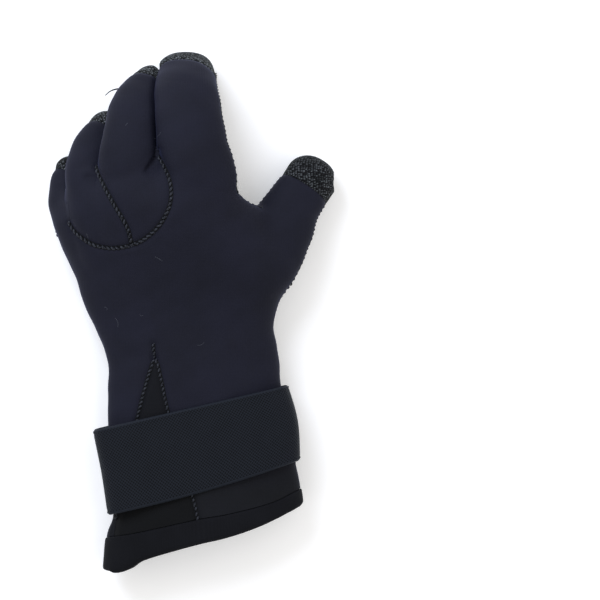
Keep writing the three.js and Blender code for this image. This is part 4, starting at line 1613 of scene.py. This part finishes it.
@dataclass
class Strap:
    """A closed loop of elastic webbing round the wrist, flat on top, with rolled selvedges."""

    shop: Workshop
    slack: float = 1.0
    skew: float = 2.5
    around: int = 340
    across: int = 40
    selvedge: float = 1.5
    selvedge_rise: float = 0.3
    bulge: float = 0.9  # how far the webbing's middle stands out past its edges at the loop's two ends
    bow: float = 2.0  # how far its lower edge sags on top

    def sections(self) -> dict[str, np.ndarray]:
        """The loop's three sections, at its lower edge, middle and upper edge, as the solid model has them."""
        body = self.shop.form.body
        y = body.knots[list(STRAP_ROWS)]
        side, up, centre = body.axes(y)
        centre = centre + side * np.array([0, 0, -self.skew])[:, None]
        width = body.at("width", y).max() + self.slack + STRAP_THICKNESS
        depth = body.at("depth", y).max() + SEAT_CLEARANCE + STRAP_THICKNESS
        return {"side": side, "up": up, "centre": centre, "width": width, "depth": depth}

    def build(self) -> bpy.types.Object:
        """Sweeps the webbing's profile round the wrist, at even steps along the loop.

        A point is centre + side (w - inset) c + up (d - inset) s on the superellipse, with the sections' values taken
        along a smooth curve through the three of them.

        Returns:
            The piece that stands for the strap.
        """
        found = self.sections()
        dense = np.linspace(0, 2 * math.pi, 6001)
        c = signed_power(np.cos(dense), 2 / STRAP_POWER)
        s = signed_power(np.sin(dense), 2 / STRAP_POWER)
        run = np.concatenate([[0], np.cumsum(np.hypot(np.diff(c * found["width"]), np.diff(s * found["depth"])))])
        stops = np.linspace(0, run[-1], self.around, endpoint=False)
        c, s = np.interp(stops, run, c), np.interp(stops, run, s)
        width = float(np.linalg.norm(found["centre"][2] - found["centre"][0]))
        t = np.linspace(0, 1, self.across)
        edge = np.minimum(t, 1 - t) * width
        rise = self.selvedge_rise * np.exp(-(((edge - self.selvedge / 2) / (self.selvedge / 2)) ** 4))
        dip = 0.18 * np.exp(-(((edge - self.selvedge - 0.7) / 0.6) ** 2))
        round_edge = (STRAP_THICKNESS / 2) * (1 - np.sqrt(np.clip(1 - np.clip(1 - edge / 1.0, 0, 1) ** 2, 0, 1)))
        outer = round_edge - rise + dip
        inner = STRAP_THICKNESS - round_edge
        place = np.concatenate([t, t[::-1]])
        inset = np.concatenate([outer, inner])
        knots = {k: through(found[k], place * 2) for k in ("side", "up", "centre")}
        bow = self.bow * np.sin(math.pi * np.clip((c + 1) / 2, 0, 1)) * np.clip(s, 0, 1) ** 0.5
        wide = found["width"] + self.bulge * np.sin(math.pi * place)
        along = unit(found["centre"][2] - found["centre"][0])
        points = (
            knots["centre"][:, None]
            + knots["side"][:, None] * ((wide - inset)[:, None] * c[None])[..., None]
            + knots["up"][:, None] * ((found["depth"] - inset)[:, None] * s[None])[..., None]
            - along[None, None] * (bow[None] * (1 - place[:, None]) ** 2)[..., None]
        )
        count = 2 * self.across
        faces = grid_faces(count, self.around, True, True)
        r, k = faces // self.around, faces % self.around
        k = np.where((k == 0) & (k.max(1, keepdims=True) == self.around - 1), self.around, k)
        cloth = np.stack([k * run[-1] / self.around, (place * width)[r]], -1)
        finish = replace(WEBBING, width_mm=width)
        points, faces, cloth = points.reshape(-1, 3), faces[:, ::-1], cloth[:, ::-1]
        piece = self.shop.write("wrist_webbing", points, faces, finish.material(), cloth, 70.0)
        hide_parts("wrist_strap")
        log.info("strap: %.1f mm wide, %.0f mm round", width, run[-1])
        return piece


@dataclass
class Closure:
    """The hook-tape patch that closes the strap under the wrist."""

    shop: Workshop
    length: float = 46.0
    width: float = 38.0
    corner_power: float = 9.0
    around: int = 96
    roll: float = 0.5
    edge_top: float = 1.1  # where the rolled edge meets the tape's flat top
    edge_draw: float = 0.1  # how far the edge's middle rings are drawn in

    def build(self) -> bpy.types.Object:
        """Stacks rings of a superellipse: a flat underside, a rolled edge and a flat top, closed at both middles.

        Returns:
            The piece that stands for the closure.
        """
        body = self.shop.form.body
        y = body.knots[[STRAP_ROWS[1]]]
        side, _, centre = body.axes(y)
        side, centre = side[0], centre[0]
        ahead = np.array([-side[1], side[0], 0])
        angle = np.linspace(0, 2 * math.pi, self.around, endpoint=False)
        c = signed_power(np.cos(angle), 2 / self.corner_power)
        s = signed_power(np.sin(angle), 2 / self.corner_power)
        size = np.array([0.02, 0.35, 0.7, 0.9, 1, 1, 1, 1, 0.9, 0.7, 0.35, 0.02])
        drawn = np.array([0, 0, 0, 0, self.roll, self.edge_draw, self.edge_draw, self.roll, 0, 0, 0, 0])
        height = np.array([0, 0, 0, 0, 0, self.roll, self.edge_top, *[CLOSURE_THICKNESS] * 5])
        half_length = size * self.length / 2 - drawn
        half_width = size * self.width / 2 - drawn
        points = (
            np.array([centre[0], centre[1], 0])
            + side * (half_length[:, None] * c[None])[..., None]
            + ahead * (half_width[:, None] * s[None])[..., None]
            + np.array([0, 0, 1]) * np.broadcast_to(height[:, None], (len(size), self.around))[..., None]
        )
        rings = len(size)
        quads = grid_faces(rings, self.around, False, True)
        flat = points.reshape(-1, 3)
        low, high = len(flat), len(flat) + 1
        flat = np.vstack([flat, [centre[0], centre[1], 0], [centre[0], centre[1], CLOSURE_THICKNESS]])
        ring = np.arange(self.around)
        after = (ring + 1) % self.around
        top = (rings - 1) * self.around
        faces = np.vstack(
            [
                quads[:, [0, 1, 2]],
                quads[:, [0, 2, 3]],
                np.stack([np.full(self.around, low), after, ring], 1),
                np.stack([np.full(self.around, high), top + ring, top + after], 1),
            ]
        )
        piece = self.shop.write("strap_patch", flat, faces, HOOKS.material())
        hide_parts("strap_closure")
        return piece


@dataclass
class Stitching:
    """Thick thread sewn over the seams: each stitch is a short arc laid aslant across the seam, its ends sunk in."""

    shop: Workshop
    pitch: float = 2.9
    half_across: float = 0.8
    half_along: float = 1.4
    height: float = 1.1
    sink: float = 0.2
    radius: float = 0.72
    loose_end: tuple[tuple[float, float, float], ...] = (
        (-40.0, 135.5, 24.0),
        (-43.5, 135.7, 26.0),
        (-47.5, 134.4, 27.0),
        (-50.8, 131.8, 26.0),
    )
    loose_radius: float = 0.62
    bed_offsets: tuple[float, ...] = (-1.9, -1.3, 0.0, 1.3, 1.9)  # across the seam
    bed_rises: tuple[float, ...] = (-0.3, 0.22, 0.25, 0.22, -0.3)
    rings: int = 8
    sides: int = 7

    def stitches(self, path: np.ndarray, out: np.ndarray, size: float = 1.0) -> tuple[np.ndarray, np.ndarray]:
        """The stitches along a path on the surface.

        With t from -1 to 1 along a stitch, its thread runs through place + across w t + along q t + out (h (1 - t^2) - sink),
        and its radius is r (1 - 0.85 t^4)^0.5.

        Args:
            path: the stitches' places, one pitch apart.
            out: the surface's outward directions there.
            size: the stitches' size as a share of the full one.

        Returns:
            Points and quads.
        """
        ahead = unit(np.gradient(path, axis=0))
        across = unit(np.cross(ahead, out))
        t = np.linspace(-1, 1, self.rings)
        centre = (
            path[:, None]
            + across[:, None] * (size * self.half_across * t)[None, :, None]
            + ahead[:, None] * (size * self.half_along * t)[None, :, None]
            + out[:, None] * (size * (self.height * (1 - t * t) - self.sink))[None, :, None]
        )
        tangent = unit(np.gradient(centre, axis=1))
        first = unit(np.cross(tangent, np.broadcast_to(out[:, None], tangent.shape)))
        second = np.cross(tangent, first)
        turn = np.linspace(0, 2 * math.pi, self.sides, endpoint=False)
        radius = size * self.radius * np.sqrt(1 - 0.85 * t**4)
        ring = first[..., None, :] * np.cos(turn)[:, None] + second[..., None, :] * np.sin(turn)[:, None]
        points = centre[..., None, :] + ring * radius[None, :, None, None]
        count = self.rings * self.sides
        quads = grid_faces(self.rings, self.sides, False, True)
        faces = (quads[None] + (np.arange(len(path)) * count)[:, None, None]).reshape(-1, 4)
        return points.reshape(-1, 3), faces

    def caps(self, number: int) -> np.ndarray:
        """The triangles that close both ends of each of a number of stitches, as fans."""
        fan = np.stack([np.zeros(self.sides - 2, int), np.arange(1, self.sides - 1), np.arange(2, self.sides)], 1)
        last = fan[:, ::-1] + (self.rings - 1) * self.sides
        both = np.vstack([fan, last])
        return (both[None] + (np.arange(number) * self.rings * self.sides)[:, None, None]).reshape(-1, 3)

    def sew(self, name: str, paths: list[np.ndarray], size: float = 1.0) -> bpy.types.Object:
        """Makes one piece of all the stitches along some paths on the surface.

        Args:
            name: the piece's name.
            paths: points on the surface, one pitch apart.
            size: the stitches' size as a share of the full one.

        Returns:
            The piece.
        """
        points, faces, start = [], [], 0
        paths = [path for path in paths if len(path) > 2]
        for path in paths:
            out = unit(self.shop.form.gradient(path))
            p, q = self.stitches(path, out, size)
            triangles = np.vstack([q[:, [0, 1, 2]], q[:, [0, 2, 3]], self.caps(len(path))])
            points.append(p)
            faces.append(triangles + start)
            start += len(p)
        # The dark strip under the stitches: partly painted shade beside them.
        self.lay_shade_bed(f"{name}_bed", paths, size)
        return self.shop.write(name, np.vstack(points), np.vstack(faces), self.thread, sharp=None)

    def lay_shade_bed(self, name: str, paths: list[np.ndarray], size: float) -> None:
        """A low strip of near-black thread under the stitches along each path, its edges sunk into the cloth: partly
        the thread's own dark and partly painted shade of the groove beside the stitches.
        """
        form = self.shop.form
        points, faces, start = [], [], 0
        for path in paths:
            dense = evenly(path, self.pitch / 2)
            across = unit(np.cross(np.gradient(dense, axis=0), form.gradient(dense)))
            spread = dense[:, None] + across[:, None] * (np.array(self.bed_offsets) * size)[None, :, None]
            flat = form.settle(spread.reshape(-1, 3), rounds=2)
            rises = np.tile(self.bed_rises, len(dense))
            points.append(flat + unit(form.gradient(flat)) * rises[:, None])
            faces.append(grid_faces(len(dense), len(self.bed_offsets), False, False)[:, ::-1] + start)
            start += len(flat)
        self.shop.write(name, np.vstack(points), np.vstack(faces), self.dark_thread_and_shade, sharp=None)

    def on_top(self, table: Table) -> np.ndarray:
        """A seam that is drawn from above, dropped onto the glove's back."""
        return self.shop.form.drop(evenly(plan_line(table), self.pitch))

    def on_digit(self, digit: int, right: bool, start: float, end: float) -> list[np.ndarray]:
        """A digit's side seam, where no other digit or the hand covers it.

        Args:
            digit: its number, from the index finger's 0.
            right: whether it is the seam on the thumb's side.
            start: where it starts, as a share of the digit's length.
            end: how far short of the tip it ends, in millimetres.

        Returns:
            The uncovered runs of the seam.
        """
        form = self.shop.form
        tube = form.digits[digit]
        along = np.arange(start * tube.length, tube.length - end, self.pitch)
        raw = tube.side_seam(along, right)
        places = form.places(raw)
        others = np.min([p.distance for k, p in enumerate(places) if k != digit + 1], axis=0)
        settled = form.settle(raw, rounds=4)
        shown = others > -0.3
        breaks = np.flatnonzero(np.diff(shown.astype(int))) + 1
        runs = np.split(np.arange(len(raw)), breaks)
        return [settled[r] for r in runs if shown[r[0]] and len(r) > 2]

    def on_hand(self, right: bool, low: float, high: float) -> list[np.ndarray]:
        """The hand's side seam between two places along the body, where no digit covers it."""
        form = self.shop.form
        y = np.arange(low, high, self.pitch)
        raw = form.body.side_seam(y, right)
        others = np.min([p.distance for p in form.places(raw)[1:]], axis=0)
        shown = others > -0.3
        breaks = np.flatnonzero(np.diff(shown.astype(int))) + 1
        settled = form.settle(raw, rounds=4)
        return [settled[r] for r in np.split(np.arange(len(raw)), breaks) if shown[r[0]] and len(r) > 2]

    def leave_end(self) -> bpy.types.Object:
        """The end of thread that stands off the middle finger's side, a tapering tube along a curve."""
        line = evenly(np.array(self.loose_end), 1.0)
        tangent = unit(np.gradient(line, axis=0))
        first = unit(np.cross(tangent, (0, 0, 1)))
        second = np.cross(tangent, first)
        turn = np.linspace(0, 2 * math.pi, self.sides, endpoint=False)[:, None]
        ring = first[:, None] * np.cos(turn) + second[:, None] * np.sin(turn)
        radius = self.loose_radius * np.linspace(1.0, 0.35, len(line))
        points = line[:, None] + ring * radius[:, None, None]
        faces = grid_faces(len(line), self.sides, False, True)
        return self.shop.write("loose_thread_end", points.reshape(-1, 3), faces, self.dark_thread_and_shade, sharp=None)

    def build(self) -> list[bpy.types.Object]:
        """Sews the knuckle seams, the dart's seams and the side seams."""
        self.thread = THREAD.material()
        self.dark_thread_and_shade = DARK_THREAD_AND_SHADE.material()
        knuckles = self.sew("knuckle_stitching", [self.on_top(KNUCKLE_SEAM), self.on_top(DIVIDER_SEAM)])
        dart = self.sew(
            "dart_stitching",
            [self.on_top(GUSSET_LEFT)[5:-1], self.on_top(GUSSET_RIGHT)[1:-5], self.on_top(GUSSET_END)],
            0.9,
        )
        sides = [
            *self.on_digit(0, True, 0.1, 20),
            *self.on_digit(4, False, 0.1, 22),
            *self.on_digit(4, True, 0.1, 22),
            *self.on_digit(3, False, 0.1, 12),
            *self.on_hand(True, -32, 60),
            *self.on_hand(False, -38, 60),
        ]
        self.leave_end()
        return [knuckles, dart, self.sew("side_stitching", sides, 0.66)]


@dataclass
class Lint:
    """A few pale fibres caught on the jersey, each a fine curved hair on the surface."""

    shop: Workshop
    count: int = 9
    radius: float = 0.05
    steps: int = 9
    colour: str = "#585b64"
    low: tuple[float, float] = (-62.0, -38.0)
    high: tuple[float, float] = (38.0, 120.0)

    def build(self) -> bpy.types.Object:
        """Lays the fibres: a start place, a heading that turns evenly, and a drop onto the back.

        Returns:
            The piece.
        """
        form = self.shop.form
        draw = np.random.default_rng(12)
        starts = draw.uniform(self.low, self.high, (self.count, 2))
        heading = draw.uniform(0, 2 * math.pi, self.count)[:, None] + np.linspace(0, 1, self.steps) * draw.normal(
            0, 1.6, (self.count, 1)
        )
        length = draw.uniform(2.5, 7.0, self.count)[:, None] / self.steps
        plan = starts[:, None] + np.cumsum(np.stack([np.cos(heading), np.sin(heading)], -1) * length[..., None], axis=1)
        centre = form.drop(plan.reshape(-1, 2)).reshape(self.count, self.steps, 3) + [0, 0, self.radius]
        centre = centre[centre[..., 2].min(1) > 10]  # only those that lie wholly on the glove
        count = len(centre)
        tangent = unit(np.gradient(centre, axis=1))
        side = unit(np.cross(tangent, (0, 0, 1)))
        up = np.cross(side, tangent)
        turn = np.linspace(0, 2 * math.pi, 4, endpoint=False)[:, None]
        ring = side[..., None, :] * np.cos(turn) + up[..., None, :] * np.sin(turn)
        points = centre[..., None, :] + ring * self.radius
        quads = grid_faces(self.steps, 4, False, True)
        faces = (quads[None] + (np.arange(count) * self.steps * 4)[:, None, None]).reshape(-1, 4)
        material = bpy.data.materials.new("pale_lint")
        material.use_nodes = True
        shader = material.node_tree.nodes["Principled BSDF"]
        shader.inputs["Base Color"].default_value = to_linear(self.colour)
        shader.inputs["Roughness"].default_value = 0.8
        return self.shop.write("lint", points.reshape(-1, 3), faces, material, sharp=None)


@dataclass(frozen=True)
class Studio:
    """A pale floor, soft light and the camera straight above."""

    view_centre: tuple[float, float] = (67.7, 7.3)
    view_width: float = 366.0
    height: float = 2400.0
    focus_height: float = 20.0
    sensor: float = 36.0
    floor_half: float = 3.0  # metres
    floor_glow: float = 0.25

    def light(self, name: str, place: tuple[float, float, float], size: float, power: float, colour: str) -> None:
        """A square soft light that faces the glove.

        Args:
            name: its name.
            place: where it stands, in metres.
            size: its side in metres.
            power: watts.
            colour: its sRGB hex colour.
        """
        data = bpy.data.lights.new(name, "AREA")
        data.shape = "SQUARE"
        data.size = size
        data.energy = power
        data.color = to_linear(colour)[:3]
        lamp = bpy.data.objects.new(name, data)
        lamp.location = place
        gap = -np.array(place)
        yaw = math.atan2(gap[1], gap[0]) - math.pi / 2
        lamp.rotation_euler = (math.acos(-gap[2] / np.linalg.norm(gap)), 0, yaw)
        bpy.context.scene.collection.objects.link(lamp)

    def build(self, shop: Workshop) -> None:
        """Sets the floor, the lights, the sky and the camera."""
        scene = bpy.context.scene
        half = self.floor_half
        corners = [[-half, -half, 0], [half, -half, 0], [half, half, 0], [-half, half, 0]]
        material = bpy.data.materials.new("pale_floor")
        material.use_nodes = True
        tree = material.node_tree
        shader = tree.nodes["Principled BSDF"]
        place = add_node(tree, "ShaderNodeTexCoord").outputs["Object"]
        speck = add_node(tree, "ShaderNodeTexNoise", Vector=place, Scale=40.0, Detail=2.0)
        tone = mix_colours(tree, speck.outputs["Fac"], to_linear("#f4f4f4"), to_linear("#f8f8f8"))
        tree.links.new(tone.outputs[2], shader.inputs["Base Color"])
        shader.inputs["Roughness"].default_value = 0.9
        shader.inputs["Emission Color"].default_value = to_linear("#ffffff")
        shader.inputs["Emission Strength"].default_value = self.floor_glow
        mesh = bpy.data.meshes.new("floor")
        mesh.from_pydata(corners, [], [[0, 1, 2, 3]])
        mesh.materials.append(material)
        floor = bpy.data.objects.new("floor", mesh)
        scene.collection.objects.link(floor)
        world = bpy.data.worlds.new("studio")
        world.use_nodes = True
        world.node_tree.nodes["Background"].inputs["Color"].default_value = (1, 1, 1, 1)
        world.node_tree.nodes["Background"].inputs["Strength"].default_value = 0.72
        scene.world = world
        self.light("key_light", (-0.42, 0.62, 0.8), 0.6, 7.5, "#e6eeff")
        self.light("fill_light", (0.8, 0.1, 1.1), 1.2, 3, "#fff9f4")
        scene.view_settings.view_transform = "Standard"
        data = bpy.data.cameras.new("camera")
        data.sensor_width = self.sensor
        data.lens = self.sensor * (self.height - self.focus_height) / self.view_width
        data.clip_start, data.clip_end = 0.05, 20
        camera = bpy.data.objects.new("camera", data)
        camera.location = [(c + s) * MM for c, s in zip((*self.view_centre, self.height), shop.shift)]
        scene.collection.objects.link(camera)
        scene.camera = camera


def main() -> None:
    """Builds the glove's pieces in order, then the studio."""
    logging.basicConfig(level=logging.INFO, format="%(name)s: %(message)s")
    shop = Workshop(GloveForm())
    Studio().build(shop)
    Panels(shop).build()
    Hem(shop).build()
    Strap(shop).build()
    Closure(shop).build()
    Stitching(shop).build()
    Lint(shop).build()


if __name__ == "__main__":
    main()
